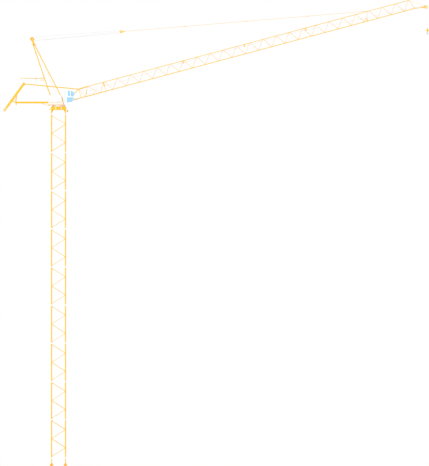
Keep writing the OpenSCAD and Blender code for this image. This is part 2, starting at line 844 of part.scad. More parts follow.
// Guide rollers on their brackets along the jib
module rope_rollers() {
    over_chord = jib_depth + top_chord / 2;
    under_chord = -bottom_chord / 2;
    half = 32;
    color("orange")
        for (i = [0:3]) {
            p = rollers[i];
            pin(p, roller_r, -60, 60);
            pin(p, 12, -84, 84);
            both_sides()
                if (i < 3)
                    block([p[0] - half, 66, p[1] - 22], [p[0] + half, 78, over_chord + 12]);
                else
                    block([p[0] - half, 66, -lacing / 2 - 20], [p[0] + half, 78, p[1] + 22]);
            if (i < 3)
                block([p[0] - half, -78, over_chord], [p[0] + half, 78, over_chord + 12]);
            else
                block([p[0] - half, -jib_half_w, under_chord - 12], [p[0] + half, jib_half_w, under_chord]);
        }
}

// The hoist rope from the drum, over the rollers and on to the head sheave
module hoist_rope() {
    r = fall_r;
    start = hoist_drum + turned([0, hoist_drum_r + rope_d / 2 + play], 3);
    tops = [for (p = rollers) p + over_roller];
    last = head_axis + turned([0, r], -3.6);
    route = concat([start], tops, [last]);
    color("dimgray")
        for (i = [0:len(route) - 2]) {
            along = 3 * (route[i + 1] - route[i]) / norm(route[i + 1] - route[i]);
            rod(xz(route[i] + along, 0), xz(route[i + 1] - along, 0), rope_d / 2);
            if (i > 0)
                pin(route[i], rope_d / 2 + 2, -rope_d / 2 - 2, rope_d / 2 + 2);
        }
}

module jib_head_sheave() {
    color("orange")
        sheave(head_axis, 0, head_sheave_r, sheave_w, pin_r + play);
}

// Two bent arms on the counter-jib's end, joined by cross tubes
module ballast_lever() {
    w = lever_w / 2;
    up = lever_top + 0.353 * lever_l * lever_axis;
    left = lever_top + 0.654 * lever_l * lever_axis;
    color("orange") {
        both_sides() {
            difference() {
                union() {
                    bar(xz(lever_top, lever_y), xz(lever_tail, lever_y), lever_d, lever_w);
                    pin(lever_top, lever_d / 2 + 24, lever_y - w - 2, lever_y + w + 2);
                    pin(lever_pivot, eye_r + 8, lever_y - w - 2, lever_y + w + 2);
                    bar(xz(lever_pivot, lever_y), xz(up, lever_y), 70, lever_w - 8);
                    bar(xz(lever_pivot, lever_y), xz(left, lever_y), 60, lever_w - 14);
                }
                pin(lever_pivot, pin_r + 4 + play, lever_y - w - 3, lever_y + w + 3);
            }
            pin(lever_top, pin_r, lever_y + w - 1, lever_y + w + 10);
        }
        for (share = [0, 0.13, 0.32])
            pin(lever_top + share * lever_l * lever_axis, 36, -lever_y, lever_y);
    }
}

// Ballast slabs laid between the arms of the lever
module ballast_slabs() {
    half = lever_y - lever_w / 2;
    color("orange")
        for (share = [[0.376, 0.480], [0.482, 0.584], [0.647, 0.739], [0.741, 0.835]]) {
            p = lever_top + share[0] * lever_l * lever_axis;
            q = lever_top + share[1] * lever_l * lever_axis;
            bar(xz(p, 0), xz(q, 0), lever_d + 6, 2 * half);
        }
}

rod_y = jib_half_w + 56;
module tie_rods() {
    a = in_side_view(heel_top);
    color("orange")
        both_sides()
            difference() {
                union() {
                    bar(xz(a, rod_y), xz(lever_top, rod_y), tie_rod_h, 36);
                    pin(a, 50, rod_y - 20, rod_y + 20);
                    pin(lever_top, 50, rod_y - 20, rod_y + 20);
                }
                pin(a, pin_r + play, rod_y - 21, rod_y + 21);
                pin(lever_top, pin_r + play, rod_y - 21, rod_y + 21);
            }
}

pendant_y = 66;
// Two pendant bars with their eyes and couplings
module pendants() {
    color("orange")
        both_sides() {
            difference() {
                union() {
                    rod([0, pendant_y, 0], [pendant_l - 84, pendant_y, 0], pendant_d / 2);
                    pin([0, 0], 44, pendant_y - 14, pendant_y + 14);
                    block([pendant_l - 90, pendant_y - 12, -30], [pendant_l + 36, pendant_y + 12, 30]);
                }
                pin([0, 0], pin_r + play, pendant_y - 15, pendant_y + 15);
            }
            for (i = [1:3])
                translate([i * pendant_l / 4, pendant_y, 0]) block([-90, -14, -26], [90, 14, 26]);
        }
}

// Lower block of the luffing tackle
module luffing_block() {
    inner = pendant_y - 12;
    color("orange") {
        both_sides() {
            plate([[pendant_l - 70, -46], [block_axis, -66], [block_axis + 60, 0], [block_axis, 66],
                   [pendant_l - 70, 46]], inner - 8, inner - 0.1);
            pin([block_axis, 0], 78, inner - 9, inner + 2);
        }
        pin([block_axis, 0], pin_r, -inner - 14, inner + 14);
        pin([pendant_l, 0], 18, -inner + 2, inner - 2);
    }
    color("dimgray")
        for (y = [-block_y, block_y])
            sheave([block_axis, 0], y, block_sheave_r, sheave_w, pin_r + play);
}

// Falls between the head sheaves and the lower block
module luffing_ropes() {
    color("dimgray")
        both_sides()
            for (side = [-1, 1])
                rod([block_axis, block_y, side * (block_sheave_r - 12)],
                    [line_l, sheave_pitch, side * (frame_sheave_r - 12)], rope_d / 2);
}

// The single fall of the hoist rope
module hoist_rope_fall() {
    top = in_side_view(head_axis)[1];
    color("dimgray")
        rod([fall_x, 0, hook_z + hook_block_h / 2 + 60], [fall_x, 0, top], rope_d / 2);
}

module hook_block() {
    w = hook_block_w / 2;
    h = hook_block_h / 2;
    color("orange")
        translate([fall_x, 0, hook_z])
            difference() {
                union() {
                    plate([[30 - w, h], [-w, h - 40], [-w, 50 - h], [60 - w, -h], [w - 60, -h], [w, 50 - h],
                           [w, h - 40], [w - 30, h]], -50, 50);
                    translate([0, 0, h - 1]) cylinder(r = 26, h = 61);
                }
                translate([0, 0, -h - 1]) cylinder(r = 18, h = 60);
            }
}

module hook() {
    color("dimgray")
        translate([fall_x, 0, hook_z - hook_block_h / 2]) {
            translate([0, 0, -60]) cylinder(r = 18 - play, h = 110);
            translate([0, 0, -124])
                rotate([90, 0, 0])
                    rotate_extrude(angle = 250, start = 90)
                        translate([64, 0]) circle(r = 20);
        }
}

on_mast() foundation_anchors();
for (i = [1:section_count])
    on_mast() mast_section(i);
on_mast() mast_couplings();
on_mast() tower_head();
on_mast() slewing_ring_outer();
on_mast() slewing_ring_inner();
on_deck() slewing_platform();
on_deck() counter_jib();
on_deck() a_frame_front_legs();
on_deck() a_frame_rear_legs();
on_deck() a_frame_head();
on_deck() a_frame_sheaves();
on_deck() service_arm();
on_deck() luffing_winch();
on_deck() luffing_rope_lead();
on_deck() machinery_cabinet();
on_deck() cab_support();
on_deck() cab_body();
on_deck() cab_windows();
on_jib() jib_heel();
for (i = [1:5])
    on_jib() jib_section(i);
on_jib() jib_head();
on_jib() hoist_winch();
on_jib() hoist_rope();
on_jib() rope_rollers();
on_jib() jib_head_sheave();
on_deck() ballast_lever();
on_deck() ballast_slabs();
on_deck() tie_rods();
on_line() pendants();
on_line() luffing_block();
on_line() luffing_ropes();
on_deck() hoist_rope_fall();
on_deck() hook_block();
on_deck() hook();
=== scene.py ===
"""The looks of the tower crane: finishes, ropes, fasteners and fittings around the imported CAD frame.

Lengths are metres in the frame of the CAD model. Places are given in the coordinates that suit the piece,
and mast, plan, deck, jib, line, lever, hook and cab turn them into points. The second value is y, across
the crane, from its middle plane. Only cab takes it from the cab's outer wall, and only plan takes it last.
"""

import json
import math
from itertools import product

import bmesh
import bpy
from mathutils import Vector
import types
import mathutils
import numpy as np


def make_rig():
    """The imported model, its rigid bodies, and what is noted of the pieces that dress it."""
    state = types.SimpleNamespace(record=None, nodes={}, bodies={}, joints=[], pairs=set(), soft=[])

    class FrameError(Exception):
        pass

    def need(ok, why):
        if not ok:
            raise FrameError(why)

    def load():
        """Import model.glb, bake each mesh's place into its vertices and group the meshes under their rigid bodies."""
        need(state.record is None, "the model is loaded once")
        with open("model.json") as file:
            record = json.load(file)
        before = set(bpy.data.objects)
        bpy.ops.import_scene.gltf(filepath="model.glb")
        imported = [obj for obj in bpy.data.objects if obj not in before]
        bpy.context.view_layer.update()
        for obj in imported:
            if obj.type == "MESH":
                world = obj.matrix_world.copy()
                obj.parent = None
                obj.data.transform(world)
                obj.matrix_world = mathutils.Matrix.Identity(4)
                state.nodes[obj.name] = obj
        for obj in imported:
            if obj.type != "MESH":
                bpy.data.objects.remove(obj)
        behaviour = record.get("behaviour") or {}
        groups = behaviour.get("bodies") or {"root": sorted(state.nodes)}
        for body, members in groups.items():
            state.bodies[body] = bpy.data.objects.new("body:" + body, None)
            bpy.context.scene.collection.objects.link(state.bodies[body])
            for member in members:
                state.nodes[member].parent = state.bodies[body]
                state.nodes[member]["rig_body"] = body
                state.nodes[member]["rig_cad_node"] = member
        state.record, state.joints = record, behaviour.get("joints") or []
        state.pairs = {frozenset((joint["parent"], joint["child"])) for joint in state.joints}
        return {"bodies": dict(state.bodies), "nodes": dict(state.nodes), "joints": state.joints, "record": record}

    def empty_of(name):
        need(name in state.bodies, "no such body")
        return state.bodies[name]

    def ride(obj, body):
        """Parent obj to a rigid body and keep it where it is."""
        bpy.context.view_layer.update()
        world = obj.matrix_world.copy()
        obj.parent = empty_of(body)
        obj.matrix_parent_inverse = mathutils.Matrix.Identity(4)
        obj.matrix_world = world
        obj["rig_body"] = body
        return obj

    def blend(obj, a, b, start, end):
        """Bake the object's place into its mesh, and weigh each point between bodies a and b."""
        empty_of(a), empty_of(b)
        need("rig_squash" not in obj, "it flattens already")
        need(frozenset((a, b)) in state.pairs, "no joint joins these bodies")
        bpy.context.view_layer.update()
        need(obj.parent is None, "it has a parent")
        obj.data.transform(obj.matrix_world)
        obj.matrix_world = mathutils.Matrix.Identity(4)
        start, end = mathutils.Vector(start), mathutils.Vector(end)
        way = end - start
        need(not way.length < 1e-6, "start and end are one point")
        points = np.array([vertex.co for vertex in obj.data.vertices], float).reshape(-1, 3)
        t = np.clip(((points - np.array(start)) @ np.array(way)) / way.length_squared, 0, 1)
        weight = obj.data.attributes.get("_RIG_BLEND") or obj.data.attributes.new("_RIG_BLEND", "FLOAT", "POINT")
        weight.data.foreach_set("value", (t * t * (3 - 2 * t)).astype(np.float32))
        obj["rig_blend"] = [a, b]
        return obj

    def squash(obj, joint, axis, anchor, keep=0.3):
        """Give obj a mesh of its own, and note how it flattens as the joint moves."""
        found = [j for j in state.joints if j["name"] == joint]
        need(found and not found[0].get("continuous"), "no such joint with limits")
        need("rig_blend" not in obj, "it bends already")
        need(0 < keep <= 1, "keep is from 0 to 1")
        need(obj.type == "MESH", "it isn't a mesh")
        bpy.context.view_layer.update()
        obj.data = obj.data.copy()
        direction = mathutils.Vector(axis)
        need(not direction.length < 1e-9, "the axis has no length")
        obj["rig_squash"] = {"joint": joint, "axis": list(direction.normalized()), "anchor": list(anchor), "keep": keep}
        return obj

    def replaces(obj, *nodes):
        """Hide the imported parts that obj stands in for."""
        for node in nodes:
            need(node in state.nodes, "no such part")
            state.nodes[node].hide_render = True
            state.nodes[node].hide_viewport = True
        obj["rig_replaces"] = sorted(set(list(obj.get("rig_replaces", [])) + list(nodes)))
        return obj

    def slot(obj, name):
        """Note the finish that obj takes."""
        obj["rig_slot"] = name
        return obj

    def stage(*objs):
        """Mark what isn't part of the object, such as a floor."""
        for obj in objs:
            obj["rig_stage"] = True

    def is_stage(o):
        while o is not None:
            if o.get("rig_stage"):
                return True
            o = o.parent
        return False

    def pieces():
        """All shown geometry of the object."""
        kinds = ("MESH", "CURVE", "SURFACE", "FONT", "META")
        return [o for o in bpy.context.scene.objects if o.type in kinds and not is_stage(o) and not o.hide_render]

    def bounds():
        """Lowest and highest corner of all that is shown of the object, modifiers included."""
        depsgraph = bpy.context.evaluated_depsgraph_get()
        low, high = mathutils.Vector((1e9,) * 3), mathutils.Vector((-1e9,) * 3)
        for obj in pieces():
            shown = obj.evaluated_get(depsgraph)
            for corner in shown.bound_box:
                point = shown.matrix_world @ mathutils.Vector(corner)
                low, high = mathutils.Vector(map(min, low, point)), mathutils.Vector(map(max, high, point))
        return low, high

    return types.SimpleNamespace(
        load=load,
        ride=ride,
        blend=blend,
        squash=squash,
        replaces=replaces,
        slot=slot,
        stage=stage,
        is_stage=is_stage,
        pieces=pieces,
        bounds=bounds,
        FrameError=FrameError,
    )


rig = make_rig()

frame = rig.load()
cad_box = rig.bounds()

X, Y, Z = Vector((1, 0, 0)), Vector((0, 1, 0)), Vector((0, 0, 1))
SIDES = (-1, 1)
BOTH = [(side, Y * side) for side in SIDES]  # with the way out to that side of the crane

# The mast's axis in the frame, the heights and the mast's lattice.
AXIS = 0.528
DECK = 27.641
MAST_BASE = 0.654
SECTION = 2.9
SECTIONS = 9
LEG = 0.528
LEG_HALF = 0.039
COUPLING = 0.13
COUPLING_HALF = 0.031
CARRIER_Z = MAST_BASE + SECTIONS * SECTION + 0.332
RING_Z = CARRIER_Z + 0.236
CORNERS = list(product((-LEG, LEG), repeat=2))
SLEW_DRIVES = [(-0.36, 0.396), (0.10, 0.5256)]

# Pins of the upper works in the side view, from the mast's axis at deck level.
PIVOT = (0.445, 0.023)
FRAME_HEAD = (-2.003, 4.826)
LEVER_TOP = (-2.641, 1.421)
LEVER_TAIL = (-4.146, -0.638)
LEVER_L = math.dist(LEVER_TOP, LEVER_TAIL)

# The jib, along and square to its own axis from its pivot.
JIB_TURN = math.radians(15)
JIB_Y = 0.39
JIB_DEPTH = 0.712
BAY = 1.042
FIRST_NODE = 3.3
SECTION_BAYS = (5, 5, 5, 4, 4)
ROLLERS = [(9.497, 0.540), (14.325, 0.536), (19.153, 0.532), (23.846, 0.204)]

# Ropes: radii are those of the rope's centre line on its drum or sheave.
ROPE = 0.016
LUFFING_DRUM_R = 0.0985
HOIST_DRUM_R = 0.1003
TOP_R = 0.133
BLOCK_R = 0.096
FALL_R = 0.125
ROLLER_R = 0.0443
HOOK_DROP = 1.78
HOOK_TOP = 0.155

# The cab: its outer wall, its width, and its front edge and panes in the side view.
CAB_OUTER = -1.15
CAB_WIDTH = 0.65
CAB_FRONT = [(1.113, -0.083), (1.144, 0.198), (1.265, 0.388), (1.235, 0.791), (1.037, 0.905)]
PANES = [
    [(0.718, 0.500), (0.885, 0.470), (0.885, 0.872), (0.718, 0.872)],
    [(0.939, 0.466), (1.128, 0.430), (1.212, 0.600), (1.200, 0.770), (1.030, 0.862), (0.939, 0.862)],
    [(0.650, -0.020), (1.076, 0.060), (1.104, 0.212), (1.206, 0.372), (0.650, 0.404)],
]

# The picture: its middle and height on the crane, the camera, the light and the floor (x0, x1, y0, y1).
PICTURE_CENTRE = (12.380, 17.731)
PICTURE_HEIGHT = 466 * 0.076
CAMERA_DISTANCE = 1000.0
SKY_LIGHT = 0.84
FLOOR = (-14.0, 44.0, -16.0, 7.0)

SHARP = math.radians(32)
CUT = 0.0015


# ---------------------------------------------------------------- places


def mast(x, y, z):
    """From the mast's axis at the ground."""
    return Vector((AXIS + x, AXIS + y, z))


def plan(x, z, y):
    """The same point as mast's, for shapes that are drawn in the plan instead of the side view."""
    return mast(x, y, z)


def deck(x, y, z):
    """From the mast's axis at deck level."""
    return Vector((AXIS + x, AXIS + y, DECK + z))


def jib(s, y, t):
    """s along the jib from its pivot, t square to it in the side view."""
    c, d = math.cos(JIB_TURN), math.sin(JIB_TURN)
    return deck(PIVOT[0] + s * c - t * d, y, PIVOT[1] + s * d + t * c)


def near(at, place):
    """Coordinates of their own, along those of at, for what lies round a place of the side view."""
    return lambda a, y, c: at(place[0] + a, y, place[1] + c)


JIB_ALONG = jib(1, 0, 0) - jib(0, 0, 0)
JIB_UP = jib(0, 0, 1) - jib(0, 0, 0)
LINE_FROM = jib(FIRST_NODE + 20 * BAY, 0, JIB_DEPTH)
LINE_TO = deck(FRAME_HEAD[0], 0, FRAME_HEAD[1])
LINE = (LINE_TO - LINE_FROM).normalized()
LINE_UP = Y.cross(LINE) * -1
LINE_L = (LINE_TO - LINE_FROM).length
LINE_L_HIGH = 20.3414  # with the jib at its steepest
PENDANT_L = 18.70
BLOCK_AT = PENDANT_L + 0.19
BECKET_AT = BLOCK_AT + 0.19
LEVER_AXIS = Vector((LEVER_TAIL[0] - LEVER_TOP[0], 0, LEVER_TAIL[1] - LEVER_TOP[1])).normalized()
LEVER_OUT = Vector((-LEVER_AXIS.z, 0, LEVER_AXIS.x))


def line(u, y, v):
    """u along the luffing gear from the jib's pendant node to the A-frame's head, v square to it."""
    return LINE_FROM + LINE * u + Vector((0, y, 0)) + LINE_UP * v


def lever(u, y, v):
    """u down the ballast lever from its top pin, v square to it in the side view."""
    return deck(LEVER_TOP[0], y, LEVER_TOP[1]) + LEVER_AXIS * u + LEVER_OUT * v


luffing_drum = near(deck, (-0.14, 0.235))
frame_head = near(deck, FRAME_HEAD)
lever_pivot = near(deck, (-3.257, 0.084))
heel_top = near(jib, (1.315, 0.679))
hoist_drum = near(jib, (1.85, 0.232))
pendant_node = near(jib, (FIRST_NODE + 20 * BAY, JIB_DEPTH))
head_sheave = near(jib, (28.412, -0.114))
block = near(line, (BLOCK_AT, 0))
line_head = near(line, (LINE_L, 0))
HOOK_AT = head_sheave(0, 0, 0) + Vector((FALL_R, 0, -HOOK_DROP))


def hook(x, y, z):
    """From the middle of the hook block."""
    return HOOK_AT + Vector((x, y, z))


def cab(x, y, z):
    """From the cab's outer wall."""
    return deck(x, CAB_OUTER + y, z)


def polar(r, turns):
    return r * math.cos(2 * math.pi * turns), r * math.sin(2 * math.pi * turns)


def around(at, r, turns, y=0.0):
    """The point at radius r round the origin of at, so many turns on, in the side view."""
    a, c = polar(r, turns)
    return at(a, y, c)


def circle(at, r, count, y=0.0, start=0.0):
    return [around(at, r, (k + start) / count, y) for k in range(count)]


def arc(at, r, low, high, y=0.0, steps=16):
    """Points round the origin of at in the side view, from low to high degrees."""
    return [around(at, r, (low + (high - low) * i / steps) / 360, y) for i in range(steps + 1)]


def gear(teeth, root, tip, low, high):
    """The outline of a toothed wheel. A flank rises from the share low of the pitch to the share high."""
    tooth = ((0.0, root), (low, root), (high, tip), (1 - high, tip), (1 - low, root))
    return [polar(r, (k + share) / teeth) for k in range(teeth) for share, r in tooth]


# ---------------------------------------------------------------- mesh making


def add_object(name, data):
    obj = bpy.data.objects.new(name, data)
    bpy.context.scene.collection.objects.link(obj)
    return obj


class Piece:
    """Collects closed shapes into one mesh."""

    def __init__(self):
        self.verts, self.faces, self.smooth = [], [], []

    def add(self, verts, faces, smooth=False):
        n = len(self.verts)
        self.verts += [tuple(v) for v in verts]
        self.faces += [tuple(n + i for i in f) for f in faces]
        self.smooth += [smooth] * len(faces)

    def box(self, low, high, at=deck, cut=0.002):
        """A block with cut edges between two corners, in the coordinates of at."""
        mid = [(a + b) / 2 for a, b in zip(low, high)]
        half = [abs(b - a) / 2 for a, b in zip(low, high)]
        cut = min(cut, *(0.3 * h for h in half))
        corners = list(product(SIDES, repeat=3))
        index = {key: n for n, key in enumerate(product(corners, range(3)))}
        verts = [at(*(mid[i] + s[i] * (half[i] - (0 if i == axis else cut)) for i in range(3)))
                 for s, axis in index]

        def corner(axis, *signs):
            return tuple(signs[(i - axis) % 3] for i in range(3))

        faces = []
        for axis in range(3):
            b, c = (axis + 1) % 3, (axis + 2) % 3
            for side in SIDES:
                ring = [corner(axis, side, *s) for s in ((-1, -1), (1, -1), (1, 1), (-1, 1))]
                faces.append([index[s, axis] for s in ring])
            for signs in product(SIDES, repeat=2):
                s, t = corner(axis, -1, *signs), corner(axis, 1, *signs)
                faces.append([index[s, b], index[t, b], index[t, c], index[s, c]])
        faces += [[index[s, axis] for axis in range(3)] for s in corners]
        self.add(verts, faces)

    def beam(self, p, q, w, h, up=Y, cut=0.002):
        """A rectangular bar from p to q, w across the plane of up and h along up."""
        along = (q - p).normalized()
        side = up.cross(along).normalized()
        top = along.cross(side)
        mid, length = (p + q) / 2, (q - p).length
        self.box((-length / 2, -w / 2, -h / 2), (length / 2, w / 2, h / 2),
                 lambda a, b, c: mid + along * a + side * b + top * c, cut)

    def lathe(self, origin, axis, profile, n=24, smooth=True):
        """Turns (radius, height) points round an axis. The profile ends on the axis or closes on itself."""
        axis = Vector(axis).normalized()
        side = axis.orthogonal().normalized()
        other = axis.cross(side)
        verts, rings = [], []
        for r, h in profile:
            count = n if r else 1
            rings.append(range(len(verts), len(verts) + count))
            for i in range(count):
                c, s = polar(1, i / n)
                verts.append(origin + axis * h + (side * c + other * s) * r)
        pairs = list(zip(rings, rings[1:]))
        if len(rings[0]) > 1:
            pairs.append((rings[-1], rings[0]))
        faces = []
        for (a, b), i in product(pairs, range(n)):
            j = (i + 1) % n
            face = [a[i % len(a)], b[i % len(b)], b[j % len(b)], a[j % len(a)]]
            faces.append(list(dict.fromkeys(face)))
        self.add(verts, faces, smooth)

    def turned(self, origin, axis, profile, n=24, smooth=True):
        """A solid turned about an axis. The profile's foot on the axis is left out, and its top may be."""
        top = [] if profile[-1][0] == 0 else [(0, profile[-1][1])]
        self.lathe(origin, axis, [(0, profile[0][1]), *profile, *top], n, smooth)

    def rod(self, p, q, r, n=16):
        """A round bar from p to q with cut rims."""
        length = (q - p).length
        cut = min(CUT, r / 3, length / 3)
        self.turned(p, q - p, [(r - cut, 0), (r, cut), (r, length - cut), (r - cut, length)], n, n > 8)

    def ring(self, origin, axis, r0, r1, h, n=28):
        """A flat ring standing h along the axis from origin."""
        rim = [(r1 - CUT, 0), (r1, CUT), (r1, h - CUT), (r1 - CUT, h)]
        self.lathe(origin, axis, [(r0, 0), *rim, (r0, h)], n)

    def bolt(self, origin, axis, across, shank=0.0):
        """A washer and a hexagon head with a cut rim, standing on a face; shank adds a threaded end above."""
        axis = Vector(axis).normalized()
        r = across / 2 / math.cos(math.pi / 6)
        washer = 0.12 * across
        self.turned(origin, axis, [(1.08 * r, 0), (1.08 * r, washer)], 12, False)
        base = origin + axis * washer
        self.turned(base, axis, [(r, 0), (r, 0.5 * across), (0.88 * r, 0.62 * across)], 6, False)
        if shank:
            end = base + axis * 0.6 * across
            self.rod(end, end + axis * shank, across * 0.28, 8)

    def bolts(self, points, axis, across):
        for p in points:
            self.bolt(p, axis, across)

    def sweep(self, points, r, n=10, closed=False):
        """A round wire along points."""
        count = len(points)
        tangents = []
        for i in range(count):
            a = points[i - 1] if closed or i else points[i]
            b = points[(i + 1) % count] if closed or i < count - 1 else points[i]
            tangents.append((b - a).normalized())
        normal = tangents[0].orthogonal().normalized()
        verts = []
        for i, (p, t) in enumerate(zip(points, tangents)):
            if i:
                normal = (normal - t * normal.dot(t)).normalized()
            other = t.cross(normal)
            for k in range(n):
                c, s = polar(1, k / n)
                verts.append(p + (normal * c + other * s) * r)
        faces = []
        for i, k in product(range(count if closed else count - 1), range(n)):
            j, m = (i + 1) % count, (k + 1) % n
            faces.append([i * n + k, i * n + m, j * n + m, j * n + k])
        if not closed:
            faces += [range(n)[::-1], range((count - 1) * n, count * n)]
        self.add(verts, faces, True)

    def plate(self, outline, y0, y1, at=deck, cut=CUT):
        """A plate with its outline in the side view, with cut rims, from y0 to y1."""
        n = len(outline)
        area = sum(a[0] * b[1] - b[0] * a[1] for a, b in zip(outline, outline[1:] + outline[:1]))
        pts = outline if area > 0 else outline[::-1]
        inner = []
        for i in range(n):
            a, b, c = Vector(pts[i - 1]), Vector(pts[i]), Vector(pts[(i + 1) % n])
            u, v = (b - a).normalized(), (c - b).normalized()
            cross = u.x * v.y - u.y * v.x
            inner.append(b + ((v - u) / cross if abs(cross) > 0.05 else Vector((-u.y, u.x))) * cut)
        lo, hi = sorted((y0, y1))
        rows = [(inner, lo), (pts, lo + cut), (pts, hi - cut), (inner, hi)]
        verts = [at(p[0], y, p[1]) for row, y in rows for p in row]
        faces = [range(n), range(3 * n, 4 * n)[::-1]]
        for r, i in product(range(3), range(n)):
            j = (i + 1) % n
            faces.append([r * n + i, (r + 1) * n + i, (r + 1) * n + j, r * n + j])
        self.add(verts, faces)

    def done(self, name, material, body):
        """Makes the object. It rides on the body, if one is given, and its slot is its material's."""
        mesh = bpy.data.meshes.new(name)
        mesh.from_pydata(self.verts, [], self.faces)
        bm = bmesh.new()
        bm.from_mesh(mesh)
        bmesh.ops.recalc_face_normals(bm, faces=bm.faces)
        for f, smooth in zip(bm.faces, self.smooth):
            f.smooth = smooth
        bm.to_mesh(mesh)
        bm.free()
        mesh.set_sharp_from_angle(angle=SHARP)
        mesh.materials.append(material)
        obj = add_object(name, mesh)
        if body:
            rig.ride(obj, body)
        slot = SLOTS[material.name]
        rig.slot(obj, slot)
        return obj


# ---------------------------------------------------------------- finishes


class Nodes:
    """The node tree of a material or a world. wire() adds a node and sets or links its sockets."""

    def __init__(self, owner):
        owner.use_nodes = True
        self.owner, self.tree = owner, owner.node_tree
        self.tree.nodes.clear()

    def wire(self, kind, sockets=None, **settings):
        node = self.tree.nodes.new("ShaderNode" + kind)
        for key, value in settings.items():
            setattr(node, key, value)
        for key, value in (sockets or {}).items():
            socket = node.inputs[key]
            if isinstance(value, bpy.types.NodeSocket):
                self.tree.links.new(value, socket)
            else:
                socket.default_value = (*value, 1) if socket.type == "RGBA" else value
        return node

    def math(self, operation, a, b=0.0):
        return self.wire("Math", {0: a, 1: b}, operation=operation).outputs[0]

    def times(self, a, b):
        return self.math("MULTIPLY", a, b)

    def span(self, value, low, high, to_low=0.0, to_high=1.0):
        return self.wire("MapRange", {"Value": value, "From Min": low, "From Max": high, "To Min": to_low,
                                      "To Max": to_high}, interpolation_type="SMOOTHSTEP").outputs["Result"]


# The name of the slot for each material made here.
SLOTS = {}


class Finish(Nodes):
    """A procedural material. Colours are three numbers; the patterns lie in the object's own coordinates."""

    def __init__(self, name):
        super().__init__(bpy.data.materials.new(name))
        SLOTS[self.owner.name] = name
        self.place = self.wire("TexCoord").outputs["Object"]

    def noise(self, scale, detail=3.0, rough=0.55, stretch=(1, 1, 1)):
        at = self.wire("Mapping", {"Vector": self.place, "Scale": stretch}).outputs["Vector"]
        sockets = {"Vector": at, "Scale": scale, "Detail": detail, "Roughness": rough}
        return self.wire("TexNoise", sockets).outputs["Fac"]

    def mix(self, share, a, b):
        return self.wire("Mix", {0: share, 6: a, 7: b}, data_type="RGBA").outputs[2]

    def edges(self, radius, low, high):
        """1 along the edges of the mesh, 0 on its flats."""
        bevel = self.wire("Bevel", {"Radius": radius}, samples=3).outputs["Normal"]
        flat = self.wire("NewGeometry").outputs["Normal"]
        dot = self.wire("VectorMath", {0: bevel, 1: flat}, operation="DOT_PRODUCT").outputs["Value"]
        return self.span(dot, high, low)

    def bump(self, height, distance, strength, under=None):
        sockets = {"Height": height, "Distance": distance, "Strength": strength}
        if under:
            sockets["Normal"] = under
        return self.wire("Bump", sockets).outputs["Normal"]

    def surface(self, **sockets):
        shader = self.wire("BsdfPrincipled", {k.replace("_", " "): v for k, v in sockets.items()})
        self.wire("OutputMaterial", {"Surface": shader.outputs[0]})
        return self.owner


def painted(name, colour, shade, primer, dirt=0.12):
    """Gloss paint over steel: a cloudy tone, rain streaks, rubbed edges, chips and a fine orange peel."""
    f = Finish(name)
    cloud = f.span(f.noise(0.9, 4, 0.6), 0.35, 0.75)
    streak = f.span(f.noise(7, 5, 0.65, (1, 1, 0.07)), 0.52, 0.74)
    tone = f.mix(f.times(cloud, 0.6), colour, shade)
    tone = f.mix(f.times(streak, dirt), tone, [c * 0.5 for c in shade])
    chips = f.span(f.noise(34, 6, 0.7), 0.72, 0.745)
    rubbed = f.times(f.edges(0.003, 0.72, 0.93), f.span(f.noise(11, 5, 0.7), 0.55, 0.66))
    worn = f.math("MAXIMUM", f.times(chips, 0.6), f.times(rubbed, 0.5))
    rough = f.math("ADD", f.span(f.noise(26), 0.3, 0.7, 0.36, 0.52), f.times(worn, 0.3))
    peel = f.bump(f.noise(420, 2), 0.0006, 0.18)
    dents = f.bump(f.math("SUBTRACT", f.noise(3.2, 2), f.times(worn, 0.4)), 0.0025, 0.3, peel)
    return f.surface(Base_Color=f.mix(worn, tone, primer), Roughness=rough, Normal=dents, Metallic=0.0,
                     Specular_IOR_Level=0.25, Coat_Weight=0.05, Coat_Roughness=0.2)


def bare(name, colour, dark, metallic, gloss, rust):
    """Zinc or machined steel: spangle, smears of grease and a little rust."""
    f = Finish(name)
    spangle = f.wire("TexVoronoi", {"Vector": f.place, "Scale": 90.0}).outputs["Color"]
    spangle = f.wire("SeparateColor", {"Color": spangle}).outputs[0]
    smear = f.span(f.noise(5, 5, 0.65), 0.4, 0.75)
    tone = f.mix(f.times(spangle, 0.25), colour, [c * 0.85 for c in colour])
    tone = f.mix(f.times(smear, 0.6), tone, dark)
    specks = f.span(f.noise(15, 6, 0.75), 0.66, 0.76)
    tone = f.mix(f.times(specks, rust), tone, (0.28, 0.13, 0.06))
    bright = f.times(f.edges(0.003, 0.75, 0.95), f.span(f.noise(20, 4), 0.4, 0.6))
    tone = f.mix(f.times(bright, 0.5), tone, (0.85, 0.85, 0.86))
    rough = f.math("ADD", f.span(smear, 0.0, 1.0, gloss, gloss + 0.22), f.times(specks, 0.2))
    normal = f.bump(f.noise(160, 4, 0.6), 0.0008, 0.25)
    return f.surface(Base_Color=tone, Roughness=rough, Normal=normal, Metallic=metallic)


